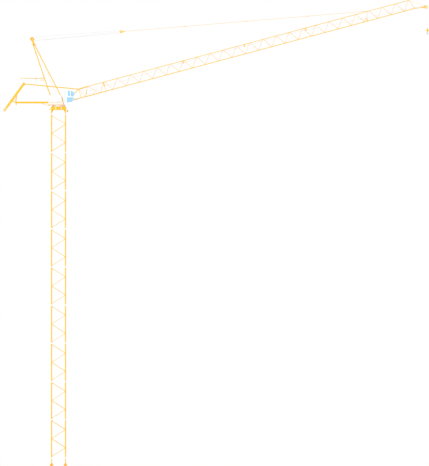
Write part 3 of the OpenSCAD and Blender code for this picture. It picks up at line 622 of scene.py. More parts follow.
def cable(name, lay=0.11, strands=6, wires=900.0):
    """Galvanised wire rope, wound by the "lay" map: u is a turn round it, v a metre along it."""
    f = Finish(name)
    uv = f.wire("SeparateXYZ", {"Vector": f.wire("UVMap", uv_map="lay").outputs["UV"]})
    turn, along = uv.outputs["X"], uv.outputs["Y"]
    wound = f.times(f.math("ADD", turn, f.times(along, 1 / lay)), strands * 2 * math.pi)
    strand = f.span(f.math("SINE", wound), -1, 0.6)
    crossing = f.math("SUBTRACT", f.times(turn, 60 * math.pi), f.times(along, wires))
    # Painted shade: the colour runs from dark in the grooves between the strands to light on their crowns.
    tone = f.mix(strand, (0.56, 0.555, 0.54), (0.92, 0.915, 0.9))
    grease = f.span(f.noise(30, 5), 0.45, 0.7)
    tone = f.mix(f.times(grease, 0.2), tone, (0.6, 0.57, 0.52))
    normal = f.bump(f.math("SINE", crossing), 0.0006, 0.4, f.bump(strand, 0.003, 0.8))
    return f.surface(Base_Color=tone, Roughness=f.span(strand, 0, 1, 0.65, 0.42), Normal=normal, Metallic=0.1)


def glazed(name):
    """Tinted cab glass with dust along the rims and faint smears."""
    f = Finish(name)
    dust = f.span(f.noise(6, 5, 0.65), 0.42, 0.8)
    film = f.math("MAXIMUM", f.times(dust, 0.3), f.times(f.edges(0.03, 0.6, 0.98), 0.35))
    tone = f.mix(film, (0.4, 0.73, 1.0), (0.66, 0.84, 0.97))
    return f.surface(Base_Color=tone, Roughness=f.span(film, 0, 0.5, 0.05, 0.3),
                     Normal=f.bump(f.noise(1.4, 2), 0.002, 0.1), Transmission_Weight=0.12, IOR=1.45,
                     Specular_IOR_Level=0.5)


def rubber(name):
    """Weathered black rubber."""
    f = Finish(name)
    tone = f.mix(f.span(f.noise(14, 5), 0.35, 0.7), (0.02, 0.02, 0.021), (0.065, 0.063, 0.06))
    normal = f.bump(f.noise(300), 0.0006, 0.3)
    return f.surface(Base_Color=tone, Roughness=f.span(f.noise(40), 0.3, 0.7, 0.6, 0.85), Normal=normal)


AMBER = painted("amber_paint", (1.0, 0.585, 0.0), (1.0, 0.51, 0.0), (0.6, 0.36, 0.1))
WHITE = painted("white_paint", (0.97, 0.97, 0.965), (0.93, 0.935, 0.935), (0.72, 0.72, 0.72), 0.06)
CYAN = painted("pale_cyan_paint", (0.76, 0.93, 0.98), (0.68, 0.88, 0.95), (0.6, 0.66, 0.68), 0.06)
PALE = bare("pale_steel", (0.93, 0.93, 0.92), (0.82, 0.815, 0.8), 0.05, 0.42, 0.1)
GREY = bare("grey_steel", (0.52, 0.52, 0.53), (0.33, 0.325, 0.32), 0.35, 0.4, 0.2)
CABLE = cable("wire_rope")
WOUND = bare("wound_rope", (0.86, 0.86, 0.85), (0.68, 0.67, 0.64), 0.1, 0.45, 0.08)
SLOTS[WOUND.name] = "wire_rope"
GLASS = glazed("blue_glass")
RUBBER = rubber("black_rubber")


# ---------------------------------------------------------------- the CAD nodes' finishes

BY_NODE = {
    "mast_couplings": PALE,
    "slewing_ring_outer": PALE,
    "slewing_ring_inner": PALE,
    "machinery_cabinet": WHITE,
    "cab_body": WHITE,
    "cab_support": WHITE,
    "cab_windows": GLASS,
    "luffing_winch": PALE,
    "hoist_winch": PALE,
    "hook": GREY,
}
for node_name, node in frame["nodes"].items():
    for material_slot in node.material_slots:
        principled = material_slot.material.node_tree.nodes["Principled BSDF"]
        red, _, blue = principled.inputs[0].default_value[:3]
        # The luffing block's cheeks are amber in the CAD, its sheaves grey.
        sheaves = node_name == "luffing_block" and abs(red - blue) < 0.05
        material_slot.material = GREY if sheaves else BY_NODE.get(node_name, AMBER)


# ---------------------------------------------------------------- ropes


def rope(name, points, body=None, n=12):
    """A wire rope along points, with the map that winds its strands. A rope that bends rides no body."""
    piece = Piece()
    piece.sweep(points, ROPE / 2, n)
    obj = piece.done(name, CABLE, body)
    lengths = [0.0]
    for a, b in zip(points, points[1:]):
        lengths.append(lengths[-1] + (b - a).length)
    lay = obj.data.uv_layers.new(name="lay")
    for poly in obj.data.polygons:
        corners = [obj.data.loops[i].vertex_index for i in poly.loop_indices]
        seam = len(corners) == 4 and {c % n for c in corners} == {0, n - 1}
        for i, c in zip(poly.loop_indices, corners):
            lay.data[i].uv = ((n if seam and c % n == 0 else c % n) / n, lengths[c // n])
    return obj


def straight(p, q, step=0.5):
    """Points from p to q about a step apart."""
    count = max(1, round((q - p).length / step))
    return [p.lerp(q, i / count) for i in range(count + 1)]


def dress_ropes():
    drum_r = LUFFING_DRUM_R
    leaves = 360 + math.degrees(math.atan2(LINE_UP.z, LINE_UP.x))
    lead = rope("luffing_lead_rope", arc(luffing_drum, drum_r, -40, 18, 0.0, 8)
                + straight(around(luffing_drum, drum_r, 19 / 360), around(frame_head, TOP_R, 19 / 360))
                + arc(frame_head, TOP_R, 22, 180), "upper_works")
    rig.replaces(lead, "luffing_rope_lead")
    turn = arc(frame_head, TOP_R, 180, leaves)
    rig.blend(rope("luffing_middle_wrap", turn), "upper_works", "luffing_falls", turn[0], turn[-1])
    points = straight(line(BECKET_AT, 0, 0), line_head(0, 0, TOP_R))
    middle = rope("luffing_fall_middle", points, "luffing_falls")
    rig.squash(middle, "luffing_fall_turn", LINE, LINE_TO, (LINE_L_HIGH - BECKET_AT) / (LINE_L - BECKET_AT))
    falls = []
    for side, name in ((-1, "right"), (1, "left")):
        y0, y1 = side * 0.022, side * 0.046
        for v, place in ((-1, "high"), (1, "low")):
            points = straight(block(0, y0, v * BLOCK_R), line_head(0, y1, v * TOP_R))
            fall = rope("luffing_fall_%s_%s" % (name, place), points, "luffing_falls")
            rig.squash(fall, "luffing_fall_turn", LINE, LINE_TO,
                      (LINE_L_HIGH - BLOCK_AT) / (LINE_L - BLOCK_AT))
            falls.append(fall)
        rope("luffing_wrap_" + name, arc(line_head, TOP_R, -90, 90, y1), "luffing_falls")
        rope("block_wrap_" + name, arc(block, BLOCK_R, 98, 262, y0), "pendant_gear")
    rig.replaces(falls[0], "luffing_ropes")

    over = arc(head_sheave, FALL_R, 93.6, -15)
    tops = [jib(s, 0, t + ROLLER_R) for s, t in ROLLERS]
    stops = [around(hoist_drum, HOIST_DRUM_R, 93 / 360), *tops, over[0]]
    points = [p for a, b in zip(stops, stops[1:]) for p in straight(a, b)[:-1]]
    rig.replaces(rope("hoist_jib_rope", points + over[:1], "jib"), "hoist_rope")
    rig.blend(rope("hoist_head_wrap", over), "jib", "rope_hanger", over[0], over[-1])
    low = hook(0, 0, HOOK_TOP)
    fall = rope("hoist_fall", straight(low, over[-1], 0.12))
    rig.blend(fall, "rope_hanger", "hook_gear", over[-1], low)
    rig.replaces(fall, "hoist_rope_fall")


# ---------------------------------------------------------------- mast and feet


def pin_end(piece, face, axis, r, proud=0.012, stub=False):
    """What shows of a pin on a face: washer, domed end and split pin. stub adds the pin itself."""
    piece.ring(face, axis, r * 1.02, r * 1.6, 0.003, 20)
    end = face + axis * proud
    if stub:
        piece.rod(face - axis * 0.004, end, r, 20)
    piece.turned(end, axis, [(r, 0), (r * 0.9, 0.004), (r * 0.5, 0.006)], 20)
    side = axis.orthogonal().normalized()
    other = axis.cross(side)
    across = face + axis * (0.6 * proud)
    eye = across + side * r * 1.35
    piece.sweep([across - side * r * 1.35, eye], 0.0022, 6)
    loop = [polar(1, k / 8 + 0.5) for k in range(8)]
    piece.sweep([eye + (side * (1 + c) + other * s) * 0.006 for c, s in loop], 0.002, 6, True)


def dress_mast():
    pins, collars, gussets, anchors, welds = (Piece() for _ in range(5))
    joints = [MAST_BASE + k * SECTION for k in range(SECTIONS + 1)]
    for z, (x, y), dz, side in product(joints, CORNERS, (-COUPLING / 4, COUPLING / 4), SIDES):
        pin_end(pins, mast(x, y + side * COUPLING_HALF, z + dz), Y * side, 0.013)
    pins.done("mast_pin_ends", PALE, "mast")

    r = LEG_HALF + 0.009
    for z, (x, y), side in product(joints, CORNERS, SIDES):
        if z > MAST_BASE or side > 0:
            low, high = (z + side * (COUPLING / 2 + d) for d in (-0.002, 0.014))
            collars.box((x - r, y - r, low), (x + r, y + r, high), mast, 0.003)
    collars.done("mast_leg_collars", AMBER, "mast")

    step = (SECTION - COUPLING) / 4
    for top, k in product(joints[1:], range(5)):
        z, inward = top - COUPLING / 2 - k * step, 1 if k % 2 == 0 else -1
        first, last = k == 0, k == 4
        up, down = 0.05 * (not first), 0.05 * (not last)
        lift = 0.012 * (last - first)
        x0, x1 = (-inward * (LEG - d) for d in (LEG_HALF - 0.004, LEG_HALF + 0.034))
        z0, z1 = z + lift - down - 0.012 * (not last), z + lift + up + 0.012 * (not first)
        outline = [(x0, z0), (x1, z0 + 0.4 * down), (x1, z1 - 0.4 * up), (x0, z1)]
        for s, d in product((-LEG, LEG), (-0.0185, 0.0145)):
            gussets.plate(outline, s + d, s + d + 0.004, mast, 0.0008)
            gussets.plate(outline, s + d, s + d + 0.004, lambda a, b, c: mast(-b, a, c), 0.0008)
    gussets.done("mast_gussets", AMBER, "mast")

    for (x, y), dx, dy in product(CORNERS, (-0.112, 0.112), (-0.112, 0.112)):
        foot = mast(x + dx, y + dy, 0.030)
        anchors.ring(foot, Z, 0.01, 0.034, 0.005, 20)
        anchors.bolt(foot + Z * 0.005, Z, 0.046)
        anchors.bolt(foot + Z * 0.038, Z, 0.046, 0.05)
    anchors.done("anchor_nuts", PALE, "mast")

    r = 0.0285
    for (x, y), z in product(CORNERS, (0.031, 0.225)):
        square = [(-r, -r), (r, -r), (r, r), (-r, r)]
        welds.sweep([mast(x + a, y + b, z) for a, b in square], 0.004, 6, True)
    welds.done("foot_weld_beads", AMBER, "mast")


def dress_tower_head():
    guard, ring, bolts, panels, seams = (Piece() for _ in range(5))
    # The guard is open where the drives' pinions reach the teeth.
    for low, high in ((140, 431), (87, 124.5)):
        turns = [(low + (high - low) * k / 60) / 360 for k in range(61)]
        outline = [polar(0.5085, t) for t in turns] + [polar(0.5035, t) for t in turns[::-1]]
        guard.plate(outline, RING_Z + 0.024, RING_Z + 0.1375, plan, 0.0008)
    guard.done("slewing_gear_guard", WHITE, "upper_works")

    outer = gear(132, 0.4805, 0.4965, 0.28, 0.38)
    n = len(outer)
    inner = [polar(0.474, i / n) for i in range(n)]
    low, high = RING_Z + 0.03, RING_Z + 0.088
    loops = ((outer, low), (outer, high), (inner, high), (inner, low))
    ring.add([mast(x, y, z) for points, z in loops for x, y in points],
             [(r * n + i, r * n + (i + 1) % n, (r + 1) % 4 * n + (i + 1) % n, (r + 1) % 4 * n + i)
              for r in range(4) for i in range(n)])
    ring.done("slewing_gear_teeth", PALE, "mast")

    for up, down in zip(circle(plan, 0.527, 60, RING_Z, 0.5), circle(plan, 0.447, 60, RING_Z - 0.026, 0.5)):
        bolts.bolt(up, Z, 0.022)
        bolts.bolt(down, -Z, 0.022)
    for (x, y), dx, dy in product(CORNERS, (-0.028, 0.028), (-0.028, 0.028)):
        bolts.bolt(mast(x + dx, y + dy, RING_Z), Z, 0.018)
    bolts.done("slewing_ring_bolts", PALE, "mast")

    for turn in range(4):
        def at(a, b, c, turn=turn):
            for _ in range(turn):
                a, b = -b, a
            return mast(a, b, CARRIER_Z + c)

        out = at(0, 1, 0) - at(0, 0, 0)
        for x in (-0.54, -0.22, 0.22, 0.54):
            panels.box((x - 0.007, 0.5, 0.02), (x + 0.007, 0.564, 0.215), at)
        for low, high in ((-0.56, -0.245), (-0.19, 0.19), (0.245, 0.56)):
            panels.box((low, 0.560, 0.024), (high, 0.570, 0.212), at, 0.003)
            seams.bolts([at(x, 0.570, z) for x in (low + 0.02, high - 0.02) for z in (0.045, 0.118, 0.191)],
                        out, 0.012)
        for x in (-0.2175, 0.2175):
            seams.box((x - 0.024, 0.562, 0.026), (x + 0.024, 0.567, 0.210), at, 0.001)
        for z in (0.0265, 0.2095):
            panels.sweep([at(x, 0.5785, z) for x in (-0.57, 0.57)], 0.003, 6)
        edge = [(0.390, 0.0), (0.410, -0.05), (0.463, -0.12), (0.487, -0.186)]
        for side, ((x0, z0), (x1, z1)) in product(SIDES, zip(edge, edge[1:])):
            panels.beam(at(side * x0, LEG, z0), at(side * x1, LEG, z1), 0.008, 0.044, out, 0.001)
    panels.done("tower_head_panels", AMBER, "mast")
    seams.done("tower_head_seams", PALE, "mast")


# ---------------------------------------------------------------- platform and machinery


def dress_platform():
    edges, kicks, panels, bolts, drives, pinions = (Piece() for _ in range(6))
    edge, face, proud = 0.572, 0.5395, 0.552
    for x0, x1 in ((-0.79, -0.45), (-0.43, 0.33)):
        edges.box((x0, 0.05, 0.0), (x1, 0.25, 0.004))
    for side in SIDES:
        kicks.box((-0.800, side * edge, -0.001), (0.344, side * 0.579, 0.05))
        edges.box((-0.800, side * edge, -0.012), (0.344, side * 0.5805, 0.0015))
    kicks.box((-0.801, -0.56, -0.001), (-0.794, -0.42, 0.05))
    edges.done("deck_plates", AMBER, "upper_works")
    kicks.done("deck_kick_strips", WHITE, "upper_works")

    for side, out in BOTH:
        for x0, x1, z in ((-0.785, -0.41, -0.027), (-0.40, -0.03, -0.027), (-0.02, 0.335, -0.027),
                          (0.352, 0.556, -0.112)):
            panels.box((x0, side * face, -0.155), (x1, side * proud, z), deck, 0.003)
        bolts.bolts([deck(-0.76 + k * 0.083, side * proud, z) for k in range(14) for z in (-0.037, -0.145)],
                    out, 0.012)
    bolts.bolts([deck(x, 0.432, 0.0) for x in (-0.77, -0.63, -0.49)], Z, 0.022)
    panels.done("platform_side_panels", WHITE, "upper_works")
    bolts.done("platform_bolts", PALE, "upper_works")

    for x, y in SLEW_DRIVES:
        foot = deck(x, y, 0.0)
        drives.turned(foot, Z, [(0.068, 0), (0.068, 0.016), (0.056, 0.02), (0.056, 0.105), (0.062, 0.11),
                                (0.062, 0.15), (0.05, 0.158), (0.05, 0.235), (0.066, 0.24), (0.066, 0.25),
                                (0.054, 0.256)], 32)
        motor = foot + Z * 0.256
        drives.turned(motor, Z, [(0.046, 0), (0.046, 0.15)])
        for k in range(18):
            out = Vector((*polar(1, k / 18), 0))
            fin = motor + out * 0.049
            drives.beam(fin + Z * 0.01, fin + Z * 0.14, 0.002, 0.012, out, 0.0005)
        drives.turned(motor + Z * 0.15, Z, [(0.054, 0), (0.054, 0.03), (0.044, 0.046), (0, 0.05)])
        drives.box((x - 0.03, y - 0.085, 0.30), (x + 0.03, y - 0.045, 0.36))
        drives.bolts([foot + Vector((*polar(0.061, (k + 0.5) / 8), 0.016)) for k in range(8)], Z, 0.009)
        shaft = mast(x, y, RING_Z + 0.034)
        pinions.rod(shaft, mast(x, y, RING_Z + 0.14), 0.018, 20)
        teeth = gear(14, 0.029, 0.037, 0.25, 0.4)
        m = len(teeth)
        pinions.add([shaft + Vector((*p, z)) for z in (0.0, 0.05) for p in teeth],
                    [(i, (i + 1) % m, m + (i + 1) % m, m + i) for i in range(m)]
                    + [range(m)[::-1], range(m, 2 * m)])
    drives.done("slewing_drives", PALE, "upper_works")
    pinions.done("slewing_pinions", PALE, "upper_works")


def rope_turns(name, drum, r, half, body, pitch=0.0175, steps=22):
    """The rope wound on a drum that lies across the crane, from one flange to the other."""
    wound = Piece()
    wound.sweep([around(drum, r, k / steps, -half + pitch * k / steps)
                 for k in range(int(2 * half / pitch) * steps + 1)], ROPE / 2, 6)
    wound.done(name, WOUND, body)


def motor_fins(piece, motor, y0, y1, r, count=20):
    for low, high in zip(circle(motor, r, count, y0), circle(motor, r, count, y1)):
        piece.beam(low, high, 0.0025, 0.012, low - motor(0, y0, 0), 0.0005)


def dress_luffing_winch():
    rope_turns("luffing_winch_rope_turns", luffing_drum, LUFFING_DRUM_R, 0.158, "upper_works")
    parts = Piece()
    for side, out in BOTH:
        parts.bolts(circle(luffing_drum, 0.125, 12, side * 0.186), out, 0.013)
    motor = near(luffing_drum, (0, 0.04))
    motor_fins(parts, motor, 0.43, 0.545, 0.074)
    parts.turned(motor(0, 0.56, 0), Y, [(0.05, 0), (0.05, 0.012), (0.02, 0.016)])
    parts.box((-0.035, 0.45, 0.07), (0.035, 0.53, 0.105), motor)
    base = near(luffing_drum, (0, -0.235))
    parts.bolts([base(x, y, 0.046) for x in (-0.16, 0.16) for y in (-0.19, -0.06, 0.06, 0.19)], Z, 0.022)
    for x, z in product((-0.11, 0.11), (0.06, 0.13, 0.2, 0.27, 0.33)):
        parts.bolt(base(x, 0.42, z), Y, 0.011)
        parts.bolt(base(x, 0.33, z), -Y, 0.011)
    parts.done("luffing_winch_fittings", PALE, "upper_works")


def dress_counter_jib():
    grating, trim, bolts = Piece(), Piece(), Piece()
    low, x0, x1, y, pitch = 0.058, -2.70, -0.83, 0.412, 0.034
    for k in range(int((x1 - x0) / pitch)):
        x = x0 + pitch * k
        grating.box((x, -y, low), (x + 0.003, y, low + 0.023), deck, 0.0005)
    for k in range(9):
        bar = -y + k * 2 * y / 8
        grating.box((x0, bar - 0.0025, low), (x1, bar + 0.0025, low + 0.025), deck, 0.0005)
    grating.done("counter_jib_grating", PALE, "upper_works")

    for side, out in BOTH:
        outer = side * 0.514
        for z in (-0.047, 0.061):
            trim.box((-3.268, side * 0.418, z - 0.006), (-0.806, side * 0.520, z + 0.006), deck, 0.001)
        for x in (-3.22, -2.76, -2.36, -1.96, -1.56, -1.16):
            trim.box((x, outer - side * 0.002, -0.043), (x + 0.008, outer + side * 0.006, 0.056), deck, 0.001)
        trim.box((-3.274, side * 0.420, -0.051), (-3.262, side * 0.518, 0.065), deck, 0.001)
        trim.box((-0.862, side * 0.4655, 0.058), (-0.772, side * 0.4725, 0.082), deck, 0.001)
        bolts.bolts([deck(x, outer, z) for x in (-0.845, -0.815, -0.787) for z in (0.03, -0.014)],
                    out, 0.018)
        bolts.bolts([deck(x, side * 0.494, -0.07 - 0.03 * k) for x in (-3.242, -3.219) for k in range(4)],
                    out, 0.012)
        pin_end(bolts, lever_pivot(0, side * 0.464, 0), out, 0.026)
    trim.done("counter_jib_flanges", AMBER, "upper_works")
    bolts.done("counter_jib_bolts", PALE, "upper_works")


def dress_a_frame():
    plates, bolts = Piece(), Piece()
    foot_y, head_y, head_z = 0.262, 0.118, 4.33
    front, rear = (0.315, 0.243), (-0.446, 0.0)
    for side, out in BOTH:
        for (x, _), half, top in ((front, 0.024, 0.018), (rear, 0.048, 0.07)):
            bolts.bolts([deck(x + dx, side * foot_y + dy, top)
                         for dy in (-0.041, 0.041) for dx in (-half, half)], Z, 0.016)
        for share in (0.235, 0.445, 0.67, 0.88):
            x, z = rear[0] - 1.459 * share, head_z * share
            y = side * (foot_y + (head_y - foot_y) * share + 0.036)
            plates.plate([(x - 0.045, z - 0.075), (x + 0.03, z - 0.06), (x + 0.012, z + 0.07),
                          (x - 0.06, z + 0.065)], y, y + side * 0.006)
        for p, q in ((front, (-1.8, head_z)), (rear, (-1.905, head_z))):
            along = Vector((q[0] - p[0], 0, q[1] - p[1])).normalized()
            across = Y.cross(along)
            centre = deck((p[0] + q[0]) / 2, side * (foot_y + head_y) / 2, (p[1] + q[1]) / 2)
            for d in (-0.11, 0.0):
                plates.beam(centre + along * d, centre + along * (d + 0.014), 0.098, 0.098)
            bolts.bolts([centre + along * 0.014 + across * a + Y * b
                         for a, b in product((-0.041, 0.041), repeat=2)], along, 0.014)
        plates.ring(frame_head(0, side * 0.088, 0), out, 0.023, 0.048, 0.006)
        pin_end(bolts, frame_head(0, side * 0.094, 0), out, 0.022, 0.010)
        bolts.bolts([deck(x, side * 0.088, z) for x, z in ((-1.99, 4.50), (-1.88, 4.40), (-1.93, 4.64))],
                    out, 0.014)
    bolts.bolts([deck(x, y, 4.372) for y in (-0.08, 0.08) for x in (-1.80, -1.86)], Z, 0.016)
    guard_r = 0.158
    for angle in (70, 160, 250):
        bolts.rod(*(around(frame_head, guard_r, angle / 360, y) for y in (-0.086, 0.086)), 0.006, 10)
    for y in (-0.0835, 0.0835):
        plates.sweep(arc(frame_head, guard_r, 70, 250, y, 20), 0.005, 8)
        plates.beam(frame_head(0, y, 0), frame_head(-0.155, y, 0.03), 0.02, 0.006)
    plates.done("a_frame_plates", AMBER, "upper_works")
    bolts.done("a_frame_bolts", PALE, "upper_works")


def dress_service_arm():
    trolley, chain = Piece(), Piece()
    half, links, pitch = 0.061, 15, 0.016
    rail = near(deck, (-1.729, 1.847))
    for x, side in product((0.025 - half, half - 0.025), SIDES):
        trolley.turned(rail(x, side * 0.0215, -0.005), Y * side,
                       [(0.016, 0), (0.016, 0.012), (0.013, 0.015)], 20)
        trolley.bolt(rail(x, side * 0.0365, -0.005), Y * side, 0.01)
    for side in SIDES:
        trolley.box((0.004 - half, side * 0.036, -0.055), (half - 0.004, side * 0.042, 0.014), rail, 0.001)
    trolley.done("service_trolley", GREY, "upper_works")

    for k in range(links):
        loop = []
        for i in range(10):
            c, s = polar(1, i / 10)
            u, v = 0.005 * c, 0.0075 * s + (0.005 if s > 0 else -0.005)
            loop.append(rail(*((0, u) if k % 2 else (u, 0)), -0.068 - k * pitch + v))
        chain.sweep(loop, 0.0022, 6, True)
    end = near(rail, (0, -0.06 - links * pitch))
    chain.box((-0.012, -0.009, -0.04), (0.012, 0.009, 0.004), end)
    bend = [end(0.02 * math.sin(a), 0, -0.075 + 0.022 * math.cos(a))
            for a in (math.radians(-20 + 25 * k) for k in range(10))]
    chain.sweep([end(0, 0, -0.035)] + bend, 0.006, 8)
    chain.done("service_chain_hook", GREY, "upper_works")


def louvres(piece, at, count, pitch, lip, low, high):
    """Slats on a wall, one above another, from low to high along it."""
    for k in range(count):
        piece.plate([(0, 0), (lip[0], -lip[1]), (lip[0], -lip[2]), (0, -lip[3])], low, high,
                    lambda u, v, w, k=k: at(u, v, pitch * k + w), 0.0003)


def dress_cabinet():
    body, handles, strip = Piece(), Piece(), Piece()
    low, high, width, edge = 0.092, 0.498, 0.274, 0.018

    def wall(x, y, z):
        return deck(x, y - 0.606, z)

    for i in range(3):
        a = -0.707 + i * 0.304
        b = a + width
        c, d = a + edge, b - edge
        for x0, z0, x1, z1 in ((a, low, c, high), (d, low, b, high),
                               (c, low, d, low + edge), (c, high - edge, d, high)):
            body.box((x0, -0.005, z0), (x1, 0.001, z1), wall, 0.0015)
        if i != 1:
            louvres(body, lambda u, v, w: wall(v, u, 0.135 + w), 7, 0.016, (-0.007, 0.009, 0.012, 0.003),
                    a + 0.05, b - 0.05)
        for z in (0.16, 0.43):
            handles.rod(wall(b - 0.004, -0.008, z - 0.02), wall(b - 0.004, -0.008, z + 0.02), 0.005, 12)
        handles.box((a + 0.028, -0.012, 0.27), (a + 0.042, -0.002, 0.35), wall)
        handles.turned(wall(a + 0.035, -0.012, 0.335), -Y, [(0.006, 0), (0.006, 0.004)], 12)
    for x, y in product((-0.70, 0.168), (-0.56, -0.37)):
        handles.sweep([deck(x + 0.014 * math.cos(a), y, 0.563 + 0.016 * math.sin(a))
                       for a in (math.radians(-60 + 30 * k) for k in range(11))], 0.004, 8)
    for x in (-0.745, 0.213):
        body.box((x - 0.004, -0.596, 0.08), (x + 0.004, -0.34, 0.52))
    louvres(body, near(deck, (0.217, 0.16)), 6, 0.03, (0.007, 0.01, 0.014, 0.004), -0.53, -0.40)
    body.done("cabinet_trim", WHITE, "upper_works")
    handles.done("cabinet_handles", PALE, "upper_works")
    strip.box((-0.7505, -0.612, 0.065), (-0.7385, -0.598, 0.37))
    strip.done("cabinet_corner_strip", AMBER, "upper_works")


def front_x(z):
    """The cab's front edge at height z in the side view."""
    for (x0, z0), (x1, z1) in zip(CAB_FRONT, CAB_FRONT[1:]):
        if z <= z1:
            return x0 + (x1 - x0) * (z - z0) / (z1 - z0)
    return CAB_FRONT[-1][0]


def dress_cab():
    frames, cyan, white, handles, wiper, inside = (Piece() for _ in range(6))
    for outline, y in product(PANES, (-0.002, CAB_WIDTH + 0.002)):
        frames.sweep([cab(a, y, b) for a, b in outline], 0.0055, 8, True)
    low, high = 0.048, CAB_WIDTH - 0.048
    for z0, z1 in ((-0.02, 0.37), (0.43, 0.78)):
        for z in (z0, z1):
            frames.sweep([cab(front_x(z) + 0.003, y, z) for y in (low, high)], 0.006, 8)
        rise = [z0 + (z1 - z0) * k / 8 for k in range(9)]
        for y in (low, high):
            frames.sweep([cab(front_x(z) + 0.003, y, z) for z in rise], 0.006, 8)
    frames.done("cab_window_frames", PALE, "upper_works")

    cyan.box((0.431, -0.010, -0.03), (0.536, 0.001, 0.872), cab, 0.003)
    for k in range(9):
        z = 0.02 + k * 0.098
        cyan.box((0.447, -0.014, z), (0.520, -0.009, z + 0.07), cab, 0.0015)
    cyan.done("cab_rear_panel", CYAN, "upper_works")

    for x in (0.556, 0.700):
        white.box((x, -0.004, -0.04), (x + 0.004, 0.001, 0.868), cab, 0.0008)
    white.box((0.47, 0.10, 0.903), (0.90, CAB_WIDTH - 0.10, 0.9045), cab, 0.0005)
    for z in (0.5, 0.55):
        white.box((0.570, -0.003, z), (0.695, 0.001, z + 0.012), cab, 0.0008)
    white.done("cab_wall_trim", WHITE, "upper_works")

    handles.box((0.655, -0.016, 0.435), (0.695, -0.002, 0.449), cab, 0.003)
    for z in (0.10, 0.80):
        handles.rod(cab(0.561, -0.008, z - 0.03), cab(0.561, -0.008, z + 0.03), 0.0065, 12)
    rail = [(-0.002, 0.16), (-0.020, 0.175), (-0.020, 0.40), (-0.002, 0.415)]
    handles.sweep([cab(0.60, y, z) for y, z in rail], 0.006)
    handles.done("cab_door_handles", PALE, "upper_works")

    mid = CAB_WIDTH / 2
    pivot = cab(front_x(0.46) + 0.010, mid, 0.415)
    wiper.rod(pivot - X * 0.02, pivot + X * 0.004, 0.010, 14)
    top = cab(front_x(0.70) + 0.010, mid + 0.12, 0.70)
    wiper.sweep([pivot, pivot.lerp(top, 0.5) + X * 0.003, top], 0.0035, 8)
    wiper.sweep([cab(front_x(z) + 0.0065, mid + 0.12, z) for z in (0.50, 0.56, 0.62, 0.68, 0.74)], 0.004, 8)
    wiper.done("cab_wiper", RUBBER, "upper_works")

    floor = -0.046
    inside.box((0.47, 0.04, floor - 0.008), (1.06, CAB_WIDTH - 0.04, floor), cab)
    for y in (0.115, CAB_WIDTH - 0.215):
        inside.box((0.66, y, 0.12), (0.86, y + 0.10, 0.30), cab, 0.012)
        inside.turned(cab(0.82, y + 0.05, 0.30), Z, [(0.024, 0), (0.012, 0.02), (0.006, 0.025), (0.006, 0.08),
                                                     (0.016, 0.095), (0.016, 0.12), (0.008, 0.13)], 16)
    inside.turned(cab(0.66, mid, floor), Z, [(0.12, 0), (0.12, 0.012), (0.03, 0.02), (0.03, 0.11),
                                             (0.10, 0.115), (0.10, 0.13)])
    inside.done("cab_controls", GREY, "upper_works")


# ---------------------------------------------------------------- jib

# The end cap of a pin.
PIN_CAP = [(0.021, 0), (0.017, 0.004)]


def dress_jib():
    plates, pins = Piece(), Piece()
    joints = [sum(SECTION_BAYS[:k]) for k in range(len(SECTION_BAYS) + 1)]
    for k in joints:
        s = FIRST_NODE + k * BAY
        for y, t in ((0, JIB_DEPTH), (JIB_Y, 0), (-JIB_Y, 0)):
            for ds, side in product((-0.045, 0.045), SIDES):
                if k or ds > 0 or t:
                    pin_end(pins, jib(s + ds, y + side * 0.032, t), Y * side, 0.012, stub=True)
            plates.box((s - 0.004, y - 0.036, t - 0.036), (s + 0.004, y + 0.036, t + 0.035), jib, 0.001)
    for k in range(joints[-1]):
        s = FIRST_NODE + k * BAY
        if k not in joints:
            plates.plate([(s - 0.05, 0.692), (s - 0.02, 0.664), (s + 0.02, 0.664), (s + 0.05, 0.692)],
                         -0.003, 0.003, jib)
        s += BAY / 2
        for y in (-JIB_Y, JIB_Y):
            plates.plate([(s - 0.05, 0.02), (s + 0.05, 0.02), (s + 0.02, 0.046), (s - 0.02, 0.046)],
                         y - 0.003, y + 0.003, jib)
    for side, out in BOTH:
        s = FIRST_NODE - 0.046
        plates.beam(jib(1.38, side * 0.4, 0.682), jib(1.97, side * 0.283, 0.710), 0.006, 0.078, JIB_UP)
        plates.beam(jib(s, side * 0.034, 0.672), jib(s, side * 0.212, 0.35), 0.006, 0.072, JIB_ALONG)
        for s, t in ROLLERS[:3]:
            plates.box((s - 0.042, side * 0.078, t - 0.022), (s + 0.042, side * 0.083, 0.705), jib, CUT)
        plates.ring(heel_top(0, side * 0.416, 0), out, 0.023, 0.045, 0.004)
        pins.turned(heel_top(0, side * 0.474, 0), out, PIN_CAP)
        plates.ring(jib(0, side * 0.418, 0), out, 0.028, 0.056, 0.003)
        pins.ring(pendant_node(0, side * 0.0825, 0), out, 0.0225, 0.035, 0.003, 20)
        pins.turned(pendant_node(0, side * 0.088, 0), out, PIN_CAP)
        plates.ring(pendant_node(0, side * 0.030, 0), out, 0.023, 0.038, 0.004)
    plates.done("jib_node_plates", AMBER, "jib")
    pins.done("jib_pin_ends", PALE, "jib")


